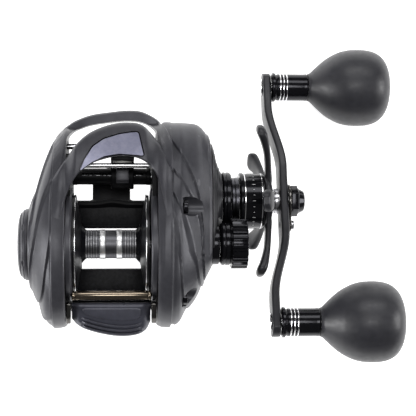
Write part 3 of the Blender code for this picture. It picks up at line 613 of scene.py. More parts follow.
def finer(rings, per_gap):
    """Rings smoothly filled in between the given ones."""
    columns = [list(enumerate(column)) for column in zip(*rings)]
    out = []
    for step in range((len(rings) - 1) * per_gap):
        out.append(tuple(smooth_through(column, step / per_gap) for column in columns))
    return out + [rings[-1]]


def swirl_depth(ridges, x, degrees):
    """0 on a ridge and up to 1 just past it, where the next blade starts."""
    crests = [smooth_through(ridge, x) for ridge in ridges]
    before = max(crest for crest in crests if crest <= degrees)
    after = min(crest for crest in crests if crest > degrees)
    share = (degrees - before) / max(after - before, 1e-6)
    return min(share / 0.1, 1.0) * (1 - share)


BOWL_MIDDLE = Vector((0.0, 5.0, 22.0))


def plate(outer, inner, ridges, depth, fade, count=320):
    """A bowl whose outer face is cut into blades, by ridges that turn as they run outwards."""
    rings = [egg_loop(ring, count) for ring in outer]
    shaped = []
    for index, ring in enumerate(rings):
        x = outer[index][0]
        amount = depth * fade(x)
        if amount < 1e-4:
            shaped.append(ring)
            continue
        before = rings[max(index - 1, 0)]
        after = rings[min(index + 1, len(rings) - 1)]
        moved = []
        for step, point in enumerate(ring):
            along = after[step] - before[step]
            around = ring[(step + 1) % count] - ring[step - 1]
            normal = along.cross(around).normalized()
            if normal.dot(point - BOWL_MIDDLE) < 0:
                normal = -normal
            blade = swirl_depth(ridges, x, 360.0 * step / count)
            moved.append(point - normal * amount * blade)
        shaped.append(moved)
    return skin(shaped + [egg_loop(ring, count) for ring in inner], endless=True)


PALM_RIM = box_of("palm_side_plate")[1].x + 0.5
PALM_CREASE = PALM_RIM - 4.6
DIAL_FACE = box_of("brake_dial")[0].x
PALM_END = DIAL_FACE + 4.1
PALM_RIDGES = (
    ((-36.0, 175.0), (-30.6, 150.0), (-30.0, 120.0), (-29.2, 96.0), (-28.0, 80.0),
     (-26.6, 65.0), (-24.9, 57.0), (-22.6, 52.0), (-17.2, 45.0)),
    ((-36.0, 225.0), (-30.6, 196.0), (-28.6, 168.0), (-26.5, 140.0), (-24.7, 113.0),
     (-23.8, 98.5), (-22.7, 88.0), (-21.9, 79.5), (-17.2, 66.0)),
    ((-36.0, 272.0), (-30.6, 240.0), (-28.0, 196.0), (-25.0, 158.0), (-17.2, 128.0)),
    ((-36.0, 315.0), (-30.6, 284.0), (-28.0, 244.0), (-17.2, 205.0)),
    ((-36.0, 360.0), (-30.6, 332.0), (-28.0, 292.0), (-17.2, 262.0)),
    ((-36.0, 415.0), (-30.6, 385.0), (-28.0, 346.0), (-17.2, 320.0)),
    ((-36.0, 460.0), (-30.6, 428.0), (-28.0, 392.0), (-17.2, 368.0)),
)
PALM_STRIP = (
    egg(PALM_RIM, -31.2, 44.2, -2.6, 47.7, brow=1.75),
    egg(PALM_RIM - 0.8, -31.8, 44.2, -3.0, 48.1, brow=1.75),
    egg(PALM_RIM - 2.8, -32.2, 42.6, -3.2, 48.4, brow=1.8),
    egg(PALM_CREASE, -32.3, 40.4, -2.9, 48.4, brow=1.9),
)


def wrapped(ridges):
    """Each ridge, with its copies a turn before and a turn after it."""
    return [tuple((x, degrees + turn) for x, degrees in ridge)
            for ridge in ridges for turn in (0.0, -360.0, 360.0)]


def make_palm_plate():
    bowl = [
        egg(PALM_CREASE - 0.12, -32.1, 40.3, -2.8, 48.15, brow=1.9),
        egg(-22.6, -31.8, 38.6, -2.2, 47.7, waist=19.4, crest=-1.9, power=2.4, brow=2.0),
        egg(-24.8, -29.8, 33.0, 0.2, 46.6, waist=20.8, crest=-1.8, keel=4.6, power=2.36, brow=2.15),
        egg(-26.6, -25.6, 27.4, 4.0, 45.3, waist=22.6, crest=-1.4, keel=2.4, power=2.28, brow=2.2),
        egg(-28.0, -21.5, 22.4, 7.2, 44.0, waist=24.0, crest=-1.0, keel=1.0, power=2.2),
        egg(-29.3, -18.4, 18.2, 9.6, 42.8, waist=25.4, crest=-0.8, keel=0.4, power=2.1),
        egg(PALM_END + 0.1, -16.6, 15.4, 11.2, 41.8, waist=26.5, crest=-0.6, keel=0.0, power=2.0),
    ]
    lip = [
        round_egg(PALM_END - 0.1, 15.0, SPOOL_AXIS),
        round_egg(PALM_END - 0.1, 14.3, SPOOL_AXIS),
        round_egg(PALM_END + 0.1, 14.0, SPOOL_AXIS),
        round_egg(PALM_END + 1.2, 13.9, SPOOL_AXIS),
    ]
    inner = [
        round_egg(PALM_END + 1.5, 12.4, SPOOL_AXIS),
        egg(-26.4, -18.8, 19.4, 8.8, 41.9, waist=24.0, crest=-1.0, keel=1.0, power=2.2),
        egg(-23.8, -27.4, 28.8, 2.6, 43.6, waist=21.0, keel=4.0),
        egg(-21.4, -29.8, 36.6, -0.4, 45.6, waist=20.0, brow=1.95),
        egg(PALM_RIM, -30.0, 41.0, -1.2, 46.2, brow=1.8),
    ]
    outer = finer(PALM_STRIP, 6) + finer(bowl, 12) + lip

    def fade(x):
        return eased_step(PALM_END, PALM_END + 1.0, x) * (1 - eased_step(-22.6, PALM_CREASE, x))

    bm = plate(outer, inner, wrapped(PALM_RIDGES), 0.85, fade)
    piece("palm_cover", bm, GRAPHITE, "reel_body", "graphite_paint", "palm_side_plate",
          smooth_angle=24.0)


GEAR_RIM = box_of("handle_side_plate")[0].x - 0.5
GEAR_CREASE = GEAR_RIM + 5.1
GEAR_RIDGES = (
    ((21.4, 29.0), (25.0, 41.5), (28.0, 51.0), (30.4, 59.5), (32.4, 67.5), (33.4, 74.5),
     (34.3, 83.0), (34.9, 108.0), (35.6, 140.0), (38.2, 170.0)),
    ((22.3, 52.0), (25.0, 58.0), (27.5, 64.0), (29.7, 69.0), (31.9, 73.5), (33.4, 79.0),
     (34.3, 90.0), (34.9, 116.0), (35.6, 150.0), (38.2, 184.0)),
    ((22.3, 64.0), (25.0, 71.5), (27.5, 78.5), (29.4, 84.0), (30.9, 89.5), (31.9, 97.0),
     (33.1, 121.0), (34.4, 146.0), (38.2, 200.0)),
    ((22.3, 72.0), (24.8, 81.0), (25.8, 92.0), (26.6, 115.0), (28.4, 150.0), (32.0, 180.0),
     (38.2, 215.0)),
    ((22.3, 150.0), (26.0, 180.0), (32.0, 215.0), (38.2, 240.0)),
    ((22.3, 215.0), (26.0, 235.0), (32.0, 256.0), (38.2, 276.0)),
    ((22.3, 275.0), (26.0, 290.0), (32.0, 308.0), (38.2, 326.0)),
)
GEAR_STRIP = (
    egg(GEAR_RIM, -31.2, 45.8, -4.2, 47.7, brow=1.9),
    egg(GEAR_RIM + 1.0, -31.8, 46.0, -4.6, 48.1, brow=1.9),
    egg(GEAR_RIM + 2.0, -32.1, 46.4, -4.8, 48.3, brow=1.95),
    egg(GEAR_RIM + 2.8, -32.2, 47.0, -5.0, 48.4, brow=2.0),
    egg(GEAR_CREASE, -32.3, 47.1, -5.6, 48.4, brow=2.15),
)
SCREWS = ("side_screw_upper", "side_screw_rear")


def make_gear_plate():
    bowl = [
        egg(GEAR_CREASE + 0.12, -32.1, 47.1, -5.7, 48.15, brow=2.15),
        egg(24.6, -31.2, 47.1, -6.0, 47.8, brow=2.25),
        egg(26.4, -29.8, 47.1, -6.6, 47.0, keel=10.0),
        egg(28.9, -25.9, 47.0, -7.0, 45.4, keel=12.0),
        egg(32.3, -21.6, 46.7, -7.0, 43.0, keel=12.0),
        egg(34.4, -18.0, 45.8, -6.4, 41.0, keel=12.0),
        egg(35.9, -14.2, 44.5, -5.6, 39.4, keel=12.0),
        egg(37.4, -11.0, 42.4, -4.2, 37.6, keel=12.0),
        egg(38.05, -10.0, 40.2, -2.8, 36.7, keel=12.0, crest=1.0),
    ]
    lip = [
        egg(38.1, -9.6, 39.4, -2.2, 36.3, keel=12.0, crest=3.0),
        egg(38.1, -7.2, 35.4, -0.8, 33.9, keel=12.0, crest=7.0),
        egg(37.9, -6.9, 35.0, -0.6, 33.7, keel=12.0, crest=8.0),
    ]
    inner = [
        egg(36.4, -6.6, 34.6, -0.5, 33.4, keel=12.0, crest=8.0),
        egg(36.1, -8.4, 38.5, -2.8, 34.2, keel=12.0, crest=6.0),
        egg(34.0, -12.0, 42.0, -4.6, 36.0, keel=12.0),
        egg(27.2, -13.6, 44.6, -5.4, 37.8, keel=12.0),
        egg(25.2, -15.0, 44.9, -5.6, 42.6, keel=12.0),
        egg(22.5, -28.4, 44.9, -4.2, 45.9, brow=2.1),
        egg(GEAR_RIM + 3.2, -29.2, 44.6, -3.4, 46.2, brow=2.0),
        egg(GEAR_RIM + 1.6, -29.7, 43.4, -3.0, 46.3, brow=1.9),
        egg(GEAR_RIM, -29.9, 43.2, -2.8, 46.2, brow=1.9),
    ]
    outer = finer(GEAR_STRIP, 6) + finer(bowl, 10) + lip

    def fade(x):
        return eased_step(GEAR_CREASE - 0.3, GEAR_CREASE + 0.7, x) * (1 - eased_step(36.9, 37.9, x))

    bm = plate(outer, inner, wrapped(GEAR_RIDGES), 0.8, fade, 480)
    cutters = []
    for node in SCREWS:
        _, head, axis, _ = round_box(node)
        cutters.append(lathe([(head - 2.0, 3.6), (44.0, 3.6)], axis, 64))
        cutters.append(lathe([(16.0, 1.6), (head, 1.6)], axis, 32))
    cutters.append(lathe([(34.5, 5.8), (39.0, 5.8)], SPOOL_AXIS, 64))
    piece("gear_case", carved(bm, cutters), GRAPHITE, "reel_body", "graphite_paint",
          "handle_side_plate", smooth_angle=24.0)


def make_side_screws():
    for node in SCREWS:
        start, head, axis, _ = round_box(node)
        outline = eased([(start, 1.3), (head - 1.7, 1.3), (head - 1.7, 2.6), (head, 2.6),
                         (head, 1.55), (head - 0.3, 1.35)], 0.25, closed=False)
        socket = slab("socket", [circle(1.25, axis, 6)], (head - 1.5, head + 0.5), 0.05)
        piece(node + "_detail", carved(lathe(outline, axis, 64), [socket]), GLOSS, "reel_body",
              "dark_steel", node)


# ---------------------------------------------------------------- gear cover and dial

def make_gear_cover():
    """Outer cap with thin steps that climb to the boss on the drive axis."""
    def step_ring(x, share):
        start = egg(0, -8.8, 38.6, -1.4, 35.6, keel=12.0, crest=6.0)
        end = round_egg(0, 11.6, DRIVE_AXIS)
        return (x,) + tuple(a + (b - a) * share for a, b in zip(start[1:], end[1:]))

    levels = ((38.4, 38.95, 0.0), (38.95, 39.5, 0.14), (39.5, 40.0, 0.30), (40.0, 40.5, 0.50),
              (40.5, 41.2, 0.68), (41.2, 42.0, 0.84), (42.0, 42.8, 1.0))
    rings = []
    for low, high, share in levels:
        rings += [step_ring(low, share), step_ring(high - 0.12, share),
                  step_ring(high, share + 0.02)]
    rings += [round_egg(42.8, 8.9, DRIVE_AXIS), round_egg(38.4, 8.9, DRIVE_AXIS)]
    bm = skin([egg_loop(ring, 240) for ring in rings], endless=True)
    hole = lathe([(34.0, 5.8), (44.0, 5.8)], SPOOL_AXIS, 64)
    knob_seat = lathe([(40.9, 10.1), (44.0, 10.1)], SPOOL_AXIS, 96)
    piece("gear_case_cover", carved(bm, [hole, knob_seat]), GRAPHITE_DARK, "reel_body",
          "satin_black", "gear_cover", smooth_angle=20.0)


def make_brake_dial():
    """A stepped cap with six scoops round its edge, and a ring of dots on its face."""
    face, back = span_of("brake_dial")
    outline = [
        (face, 9.9), (face + 0.5, 11.6), (face + 0.9, 12.2), (face + 1.05, 12.05),
        (face + 1.2, 12.25), (face + 1.8, 13.1), (face + 2.2, 13.35), (face + 2.35, 13.2),
        (face + 2.5, 13.45), (face + 3.2, 13.6), (face + 3.7, 13.6), (face + 3.8, 12.1),
        (back, 12.1), (back, 2.0), (face + 1.6, 2.0), (face + 1.6, 4.6), (face + 0.5, 5.6),
        (face + 0.12, 6.2), (face, 7.2),
    ]
    cap = lathe(eased(outline, 0.12, 2), SPOOL_AXIS, 192, closed=True)
    scoop = [(face - 1.0, 2.9), (face + 2.2, 2.9), (face + 2.7, 2.3)]
    scoops = [lathe(scoop, on_circle(SPOOL_AXIS, 15.6, angle), 40) for angle in full_turn(6)]
    piece("brake_dial_cap", carved(cap, scoops), GRAPHITE, "brake_dial", "graphite_paint",
          "brake_dial", smooth_angle=26.0)
    ticks = []
    for index in range(21):
        spot = on_circle(SPOOL_AXIS, 8.6, math.tau * (index + 0.5) / 24)
        size = 0.22 + 0.3 * (index % 5 == 0)
        ticks.append(lathe([(face - 0.03, size * 0.5), (face + 0.1, size * 0.55)], spot, 16))
    piece("brake_dial_ticks", merged(*ticks), TICK_PAINT, "brake_dial", "badge_metal")


make_palm_plate()
make_gear_plate()
make_side_screws()
make_gear_cover()
make_brake_dial()


# ---------------------------------------------------------------- hood and nose bar

FRAME_LOW, FRAME_HIGH = box_of("frame")
HOOD_ENDS = (PALM_CREASE + 0.1, GEAR_CREASE - 0.1)
HOOD_FRONT = ((-21.6, 24.2), (-19.0, 28.2), (-16.9, 31.5), (-12.0, 38.2), (-7.3, 42.2),
              (0.0, 45.2), (6.4, 46.0), (12.1, 44.8), (17.6, 38.7), (20.0, 34.0), (22.5, 29.2))
HOOD_REAR = ((-21.2, -4.0), (-19.1, 5.5), (-16.9, 15.4), (-13.6, 23.7), (-9.4, 28.4),
             (-4.7, 31.0), (4.8, 32.9), (13.0, 30.6), (17.6, 24.0), (20.0, 12.0), (22.4, 0.0))
BADGE = ((-11.2, 27.3), (-9.6, 31.4), (-6.6, 36.4), (-2.6, 39.3), (3.2, 41.2), (8.3, 42.0),
         (10.2, 42.0), (11.2, 37.3), (12.1, 33.0), (8.9, 33.3), (3.2, 33.7), (-2.6, 32.7),
         (-7.1, 30.4))
HOOD_TOP = box_of("hood")[1].z


def strip_height(x, y):
    """Height of the side plate's strip beside the frame."""
    strip = PALM_STRIP[::-1] if x < 0 else GEAR_STRIP
    inside = min(max(x, strip[0][0]), strip[-1][0])
    return smooth_through([(ring[0], egg_height(ring, y)) for ring in strip], inside)


def hood_height(x, y):
    """Height of the hood's face: an arch that runs out into the side plates' strips."""
    arch = HOOD_TOP - 0.1 - 0.0125 * (y - 12.0) ** 2 - 0.6 * (x / 17.0) ** 2
    share = eased_step(12.6, 17.2, abs(x))
    if not share:
        return arch
    tail = 1 - 0.8 * eased_step(18.4, 22.2, abs(x))
    leg = strip_height(x, y) + 1.3 * tail * eased_step(9.0, 24.0, y)
    return arch + (leg - arch) * share


def ribbon(ends, rear, front, section, stations=110):
    """A curved band. The section is (share across, inset, height from the face) points."""
    rings = []
    for x in spaced(*ends, stations):
        start = smooth_through(rear, x)
        end = smooth_through(front, x)
        ring = []
        for share, inset, lift in section:
            y = start + (end - start) * share + inset
            stand = eased_step(6.0, 15.0, y) * (1 - 0.5 * eased_step(18.4, 22.2, abs(x)))
            ring.append((x, y, hood_height(x, y) + lift * stand - 0.4 * (1 - stand)))
        rings.append(ring)
    return skin(rings)


def hood_section():
    """Rolled rims front and rear, with a softly crowned face between them."""
    ring = [(0.0, 0.5, -2.6), (0.0, 0.05, -1.9), (0.0, 0.0, -0.6), (0.0, 0.25, 0.1),
            (0.0, 0.8, 0.5), (0.0, 1.3, 0.55)]
    for lane in range(1, 16):
        share = lane / 16
        ring.append((share, 1.3 - 2.6 * share, 0.55 + 0.12 * math.sin(math.pi * share)))
    ring += [(1.0, -1.3, 0.5), (1.0, -0.7, 0.3), (1.0, -0.2, -0.2), (1.0, 0.0, -0.9),
             (1.0, -0.2, -2.0), (1.0, -0.7, -2.6)]
    return ring


def badge_outline(grow):
    """The badge's outline with small round corners, moved outwards by grow."""
    loop = [Vector(point) for point in eased(BADGE, 0.8, 6)]
    middle = sum(loop, Vector((0.0, 0.0))) / len(loop)
    out = []
    count = len(loop)
    for index, point in enumerate(loop):
        along = loop[(index + 1) % count] - loop[index - 1]
        normal = Vector((along.y, -along.x)).normalized()
        if normal.dot(point - middle) < 0:
            normal = -normal
        out.append(point + normal * grow)
    return out


def draped_plate(loop, low, high, rounding):
    """A plate over the hood with that outline. Its faces follow the hood's surface."""
    bm = bmesh.new()
    middle = sum(loop, Vector((0.0, 0.0))) / len(loop)
    rows = []
    for lift, inset in ((low, 0.0), (high - rounding, 0.0), (high, rounding)):
        row = []
        for point in loop:
            x, y = point + (middle - point).normalized() * inset
            row.append(bm.verts.new(Vector((x, y, hood_height(x, y) + lift)) * MM))
        rows.append(row)
    for first, second in zip(rows, rows[1:]):
        join_rings(bm, first, second)
    bm.faces.new(rows[0][::-1])
    top = bm.faces.new(rows[-1])
    bmesh.ops.triangulate(bm, faces=[top])
    return bm


def make_hood():
    body = ribbon(HOOD_ENDS, HOOD_REAR, HOOD_FRONT, hood_section())
    pocket = draped_plate(badge_outline(0.5), 0.1, 3.0, 0.0)
    piece("hood_shell", carved(body, [pocket]), GRAPHITE, "reel_body", "graphite_paint", "hood",
          smooth_angle=30.0)
    piece("badge_rim", draped_plate(badge_outline(0.42), -0.6, 0.42, 0.1), GLOSS, "reel_body",
          "graphite_paint", smooth_angle=30.0)
    piece("badge_plate", draped_plate(badge_outline(0.0), -0.5, 0.62, 0.14), BADGE_METAL,
          "reel_body", "badge_metal", "badge_panel", smooth_angle=30.0)


NOSE_OUTER = ((-21.2, 41.2), (-19.0, 43.6), (-16.9, 45.5), (-13.8, 47.5), (-7.9, 49.7),
              (-0.5, 50.9), (6.5, 51.6), (12.0, 51.1), (17.6, 48.3), (19.6, 46.0), (21.5, 42.4),
              (22.9, 38.8))
NOSE_INNER = ((-21.2, 22.0), (-18.6, 28.0), (-17.2, 37.0), (-16.5, 40.4), (-14.6, 42.9),
              (-11.7, 44.4), (-7.9, 45.7), (-0.5, 46.9), (6.5, 47.5), (12.0, 46.9), (15.8, 44.8),
              (17.8, 41.8), (19.2, 35.0), (22.9, 27.0))


def make_nose_bar():
    """The bar round the front: a flat sloping face between two rounded edges."""
    top = box_of("nose_bar")[1].z
    rings = []
    for x in spaced(NOSE_OUTER[0][0], NOSE_OUTER[-1][0], 110):
        inner = smooth_through(NOSE_INNER, x)
        outer = smooth_through(NOSE_OUTER, x)
        spread = eased_step(9.0, 16.4, abs(x))
        lift = 0.5 + 0.5 * (x > 0)
        face = []
        for lane in range(9):
            y = inner + (outer - 0.8 - inner) * lane / 8
            flat = top - 0.2 - 0.04 * lane
            face.append((y, flat + (strip_height(x, y) + lift - flat) * spread))
        edge = face[-1][1]
        rise = 14.0 * eased_step(19.4, 20.3, x)
        section = [(inner, 14.0 + rise), (inner, face[0][1] - 0.4)] + face
        section += [(outer, min(edge - 1.6, 18.6 + rise)), (outer, 14.6 + rise),
                    (outer - 1.6, 12.9 + rise), (inner + 0.9, 12.9 + rise)]
        rings.append(section_ring(x, section, 0.4))
    piece("nose_bridge", skin(rings), GRAPHITE, "reel_body", "graphite_paint", "nose_bar",
          smooth_angle=50.0)


# ---------------------------------------------------------------- frame and foot

LEFT_WALL = (FRAME_LOW.x, FRAME_LOW.x + 2.0)
RIGHT_WALL = (FRAME_HIGH.x - 2.1, FRAME_HIGH.x)
FLOOR_TOP = 6.0


def wall_outline():
    ring = arc(21.3, SPOOL_AXIS, 32, 197, 90)
    rear = [(-26.5, 14.0), (-26.5, 3.6)]
    nose = [(31.0, 3.6), (34.2, 8.0), (34.2, 30.0), (30.6, 38.6), (27.0, 38.6)]
    return ring + rear + nose


def make_frame():
    """Two walls, joined by the floor and two beams."""
    parts = []
    left_holes = [circle(19.7, SPOOL_AXIS)]
    right_holes = [circle(6.2, SPOOL_AXIS), circle(4.4, DRIVE_AXIS), circle(2.4, WORM_AXIS)]
    parts.append(slab("left_wall", [wall_outline()] + left_holes, LEFT_WALL, 0.3))
    parts.append(slab("right_wall", [wall_outline()] + right_holes, RIGHT_WALL, 0.3))
    reach = (LEFT_WALL[1] - 0.8, RIGHT_WALL[0] + 0.8)
    half_window = 11.8
    for low_y, high_y in ((FRAME_LOW.y + 0.3, -10.6), (5.6, 16.6)):
        parts.append(block((reach[0], low_y, 3.8), (reach[1], high_y, FLOOR_TOP), 0.35))
    for side in (-1, 1):
        low_x, high_x = sorted((side * half_window, side * 16.0))
        parts.append(block((low_x, -11.2, 3.8), (high_x, 6.2, FLOOR_TOP), 0.35))
    crown = []
    for x in spaced(*reach, 40):
        bulge = 0.9 * math.exp(-((x - 0.4) / 4.2) ** 2)
        section = [(12.8, FLOOR_TOP - 0.6), (14.9 + bulge, FLOOR_TOP + 0.9),
                   (16.4 + bulge, FLOOR_TOP + 0.7), (16.8 + bulge, FLOOR_TOP - 0.2),
                   (16.6, 3.9), (12.8, 3.9)]
        crown.append(section_ring(x, section, 0.35))
    parts.append(skin(crown))
    parts.append(block((reach[0], 23.0, 6.5), (reach[1], 28.6, 10.6), 0.6))
    rear = FRAME_LOW.y
    parts.append(block((reach[0], rear + 0.3, 5.5), (reach[1], rear + 3.0, 12.6), 0.8))
    piece("frame_body", merged(*parts), SATIN, "reel_body", "satin_black", "frame",
          smooth_angle=40.0)


def make_frame_rings():
    """The rolled ring of each wall, round the spool."""
    rings = []
    for outer_face, inner_face in ((LEFT_WALL[0], LEFT_WALL[1]), (RIGHT_WALL[1], RIGHT_WALL[0])):
        side = math.copysign(1.0, outer_face - inner_face)
        edge = inner_face - side * 0.7
        outline = [(outer_face, 19.9), (outer_face, 21.0), (outer_face - side * 0.5, 21.5),
                   (inner_face, 21.5), (edge + side * 0.2, 21.1), (edge, 20.6), (edge, 19.75)]
        rings.append(lathe(eased(outline, 0.2), SPOOL_AXIS, 160, closed=True))
    piece("frame_rings", merged(*rings), GRAPHITE, "reel_body", "satin_black", smooth_angle=40.0)


def make_webs():
    """Thin webs that close the gap between each wall of the frame and its side plate."""
    inner = arc(19.8, SPOOL_AXIS, 32, 197, 90)
    inner += [(-25.0, 14.0), (-25.0, 5.2), (30.2, 5.2), (32.6, 9.0), (32.6, 29.0), (29.6, 37.0),
              (26.4, 37.0)]
    webs = []
    for reach, ring in (
        ((PALM_RIM - 0.6, PALM_RIM - 0.05), egg(0.0, -30.5, 41.8, -1.8, 46.8, brow=1.8)),
        ((GEAR_RIM + 0.05, GEAR_RIM + 0.55), egg(0.0, -30.5, 44.2, -3.4, 46.8, brow=1.9)),
    ):
        outer = [egg_point(ring, angle)[1:] for angle in full_turn(160)]
        webs.append(slab("web", [outer, inner], reach, 0.1))
    piece("frame_webs", merged(*webs), SATIN, "reel_body", "satin_black", smooth_angle=40.0)


def make_foot():
    """Two tapered tongues that spread into a saddle, with a window each side of a web."""
    low, high = box_of("reel_foot")
    tongue = high.y - 7.5
    front = [(-y, x) for x, y in arc(7.5, (tongue, 0.0), -90, 90, 40)]
    rear = [(-x, -y) for x, y in front]
    right = [(-7.5, 17.2), (low.x, 14.4), (low.x, -16.0), (-7.5, -19.0)]
    left = [(7.5, -19.0), (high.x, -16.0), (high.x, 14.4), (7.5, 17.2)]
    windows = [[(-11.8, near), (11.8, near), (11.8, far), (-11.8, far)]
               for near, far in ((-10.6, -6.0), (4.2, 5.6))]
    outline = front + eased(right, 1.2, 5, closed=False)
    outline += rear + eased(left, 1.2, 5, closed=False)
    bm = slab("foot", [outline] + windows, (low.z, high.z), 0.3)
    for vert in bm.verts:
        z, x, y = vert.co
        slope = eased_step(18.0, 30.5, abs(y) / MM) * 1.9 * MM
        top = (high.z - 0.35) * MM
        vert.co = (x, y, z - (slope if z > top * 0.5 else 0.0))
    piece("foot_plate", bm, SATIN, "reel_body", "satin_black", "reel_foot", smooth_angle=40.0)


make_hood()
make_nose_bar()
make_frame()
make_frame_rings()
make_webs()
make_foot()


# ---------------------------------------------------------------- spool and thumb bar

def flipped(profile, side=-1):
    """The (X, radius) points on the given side of the spool's middle."""
    return [(side * x, radius) for x, radius in profile]


def make_spool():
    """Gloss flanges with polished rims, and an arbor with two bright bands and fine grooves."""
    high = box_of("spool")[1]
    edge = high.x
    rim = high.z - SPOOL_AXIS[1]
    half = []
    for step in range(5):
        x = 4.7 + 0.95 * step
        half += [(x, 5.25), (x + 0.16, 5.02), (x + 0.5, 5.02), (x + 0.66, 5.25)]
    half += [(9.3, 5.35), (11.0, 7.2), (11.5, 9.6), (12.2, 14.4), (13.1, 17.9),
             (13.25, rim - 0.15)]
    bands = [(-4.3, 5.3), (-4.2, 5.42), (-2.1, 5.42), (-2.0, 5.15), (2.0, 5.15), (2.1, 5.42),
             (4.2, 5.42), (4.3, 5.3)]
    end = [(13.25, rim - 0.4), (edge - 0.3, rim - 0.4), (edge - 0.3, 17.6), (edge - 0.4, 17.6),
           (13.4, 15.0), (12.4, 7.6), (12.6, 4.4), (edge, 3.6), (edge, 1.55)]
    loop = end + flipped(end)[::-1] + flipped(half)[::-1] + bands + half
    piece("spool_body", lathe(loop, SPOOL_AXIS, 160, closed=True), SPOOL_BLACK, "spool",
          "black_anodised", "spool", smooth_angle=30.0)

    rim_loop = eased([(12.95, 18.3), (12.95, rim - 0.2), (13.1, rim), (13.35, rim),
                      (13.5, rim - 0.2), (13.5, 18.3)], 0.12, 2)
    band_loop = [(2.05, 5.1), (2.12, 5.5), (2.25, 5.56), (4.05, 5.56), (4.18, 5.5), (4.25, 5.1)]
    line_loops = []
    for step in range(5):
        x = 5.47 + 0.95 * step
        line_loops.append([(x - 0.16, 5.2), (x - 0.13, 5.5), (x + 0.13, 5.5), (x + 0.16, 5.2)])
    for name, loops, material, steps in (
        ("spool_rims", [rim_loop], POLISHED, 200),
        ("spool_bands", [band_loop], BRIGHT, 160),
        ("spool_groove_lines", line_loops, GROOVE, 160),
    ):
        rings = [lathe(flipped(loop, side), SPOOL_AXIS, steps, closed=True)
                 for side in (-1, 1) for loop in loops]
        piece(name, merged(*rings), material, "spool", "steel")
    core = lathe([(-9.2, 5.3), (-9.1, 5.34), (9.1, 5.34), (9.2, 5.3)], SPOOL_AXIS, 160)
    piece("spool_arbor", core, ARBOR, "spool", "steel")


THUMB_REAR = ((-14.5, -27.8), (-12.6, -29.9), (-9.8, -31.6), (-3.0, -33.6), (3.9, -34.5),
              (9.9, -33.9), (13.2, -32.0), (14.8, -29.0))


def thumb_section(x, drop):
    """(Y, Z) outline of the thumb bar at x, with its top face lowered by the drop."""
    rear = smooth_through(THUMB_REAR, x)
    return [(-21.5, 33.2), (-21.5, 36.8 - drop), (-22.4, 37.8 - drop), (rear + 5.6, 36.7 - drop),
            (rear + 1.9, 35.0 - drop), (rear, 32.6), (rear + 0.8, 30.2), (-26.0, 30.3)]


RIB_SPAN = (-11.0, 11.6)
RIB_SEAT = ((0.0, 32.9), (0.9, 34.2), (1.9, 35.0), (3.7, 35.95), (5.6, 36.75))
PAD_SPAN = (-10.4, 11.0)
PAD_TOP = 37.55
PAD_SLOPE = 0.1


def thumb_rib(inset, rise):
    """A rib that follows the bar's rear edge, and sinks into the bar at both ends."""
    rib = []
    for x in spaced(*RIB_SPAN, 60):
        rear = smooth_through(THUMB_REAR, x) + inset
        height = smooth_through(RIB_SEAT, inset)
        crest = height + rise * eased_step(0.0, 2.0, min(x - RIB_SPAN[0], RIB_SPAN[1] - x))
        section = [(rear - 0.42, height - 0.5), (rear - 0.32, crest - 0.12), (rear - 0.1, crest),
                   (rear + 0.3, crest + 0.08), (rear + 0.5, height - 0.3)]
        rib.append(section_ring(x, section, 0.08, 2))
    return skin(rib)


def thumb_pad():
    pad = []
    for x in spaced(*PAD_SPAN, 48):
        near_end = min(x - PAD_SPAN[0], PAD_SPAN[1] - x)
        rear = smooth_through(THUMB_REAR, x) + 6.2 + 0.9 * (1 - eased_step(0.0, 1.6, near_end))
        front = -23.2 - 0.5 * (1 - eased_step(0.0, 1.2, near_end))
        rear_top = PAD_TOP - PAD_SLOPE * (front - rear)
        section = [(front, PAD_TOP - 0.8), (front - 0.05, PAD_TOP + 0.1),
                   (front - 0.5, PAD_TOP + 0.26), (rear + 0.6, rear_top + 0.26),
                   (rear + 0.1, rear_top + 0.05), (rear, rear_top - 0.9)]
        pad.append(section_ring(x, section, 0.15, 2))
    return skin(pad)


def make_thumb_bar():
    """A curved rest with a framed pad, stepped ribs along its rear edge, and two links."""
    start, end = span_of("thumb_bar")
    rings = []
    for x in spaced(start, end, 72):
        drop = 1.3 * (1 - eased_step(0.0, 3.0, min(x - start, end - x)))
        rings.append(section_ring(x, thumb_section(x, drop), 0.7, 4))
    ribs = [thumb_rib(inset, rise) for inset, rise in ((1.1, 0.85), (2.6, 0.9), (4.1, 0.7))]
    piece("thumb_rest", merged(skin(rings), *ribs, thumb_pad()), BLUE_GRAPHITE, "thumb_bar",
          "graphite_paint", "thumb_bar", smooth_angle=34.0)
    for node in ("thumb_link_left", "thumb_link_right"):
        near, far = box_of(node)
        link = eased([(-22.2, near.z), (-21.2, 37.4), (-21.8, far.z), (-27.0, 36.6),
                      (-29.6, 34.0), (-28.8, 31.6), (-25.6, near.z)], 0.8, 5)
        reach = (max(near.x, PALM_RIM + 0.25), min(far.x, GEAR_RIM - 0.25))
        pin = lathe([(reach[0] - 0.05, 1.0), (reach[1] + 0.05, 1.0)], (-23.4, 35.2), 40)
        piece(node + "_detail", merged(slab(node, [link], reach, 0.3), pin), NICKEL, "thumb_bar",
              "dark_steel", node)


def make_rear_bar():
    start, end, axis, radius = round_box("rear_bar")
    outline = [(start, radius * 0.8), (start + 0.3, radius), (start + 1.0, radius),
               (start + 1.1, radius * 0.86), (start + 1.4, radius * 0.86), (start + 1.5, radius)]
    outline += [(start + end - x, r) for x, r in reversed(outline)]
    piece("rear_bar_detail", lathe(eased(outline, 0.12, 2, closed=False), axis, 96), BRONZE,
          "reel_body", "dark_steel", "rear_bar")


# ---------------------------------------------------------------- level wind

def make_guide_rods():
    for node, material in (("upper_guide_rod", POLISHED), ("lower_guide_rod", STEEL)):
        start, end, axis, radius = round_box(node)
        outline = [(start, radius * 0.75), (start + 0.25, radius), (end - 0.25, radius),
                   (end, radius * 0.75)]
        piece(node + "_detail", lathe(outline, axis, 64), material, "reel_body", "steel", node)


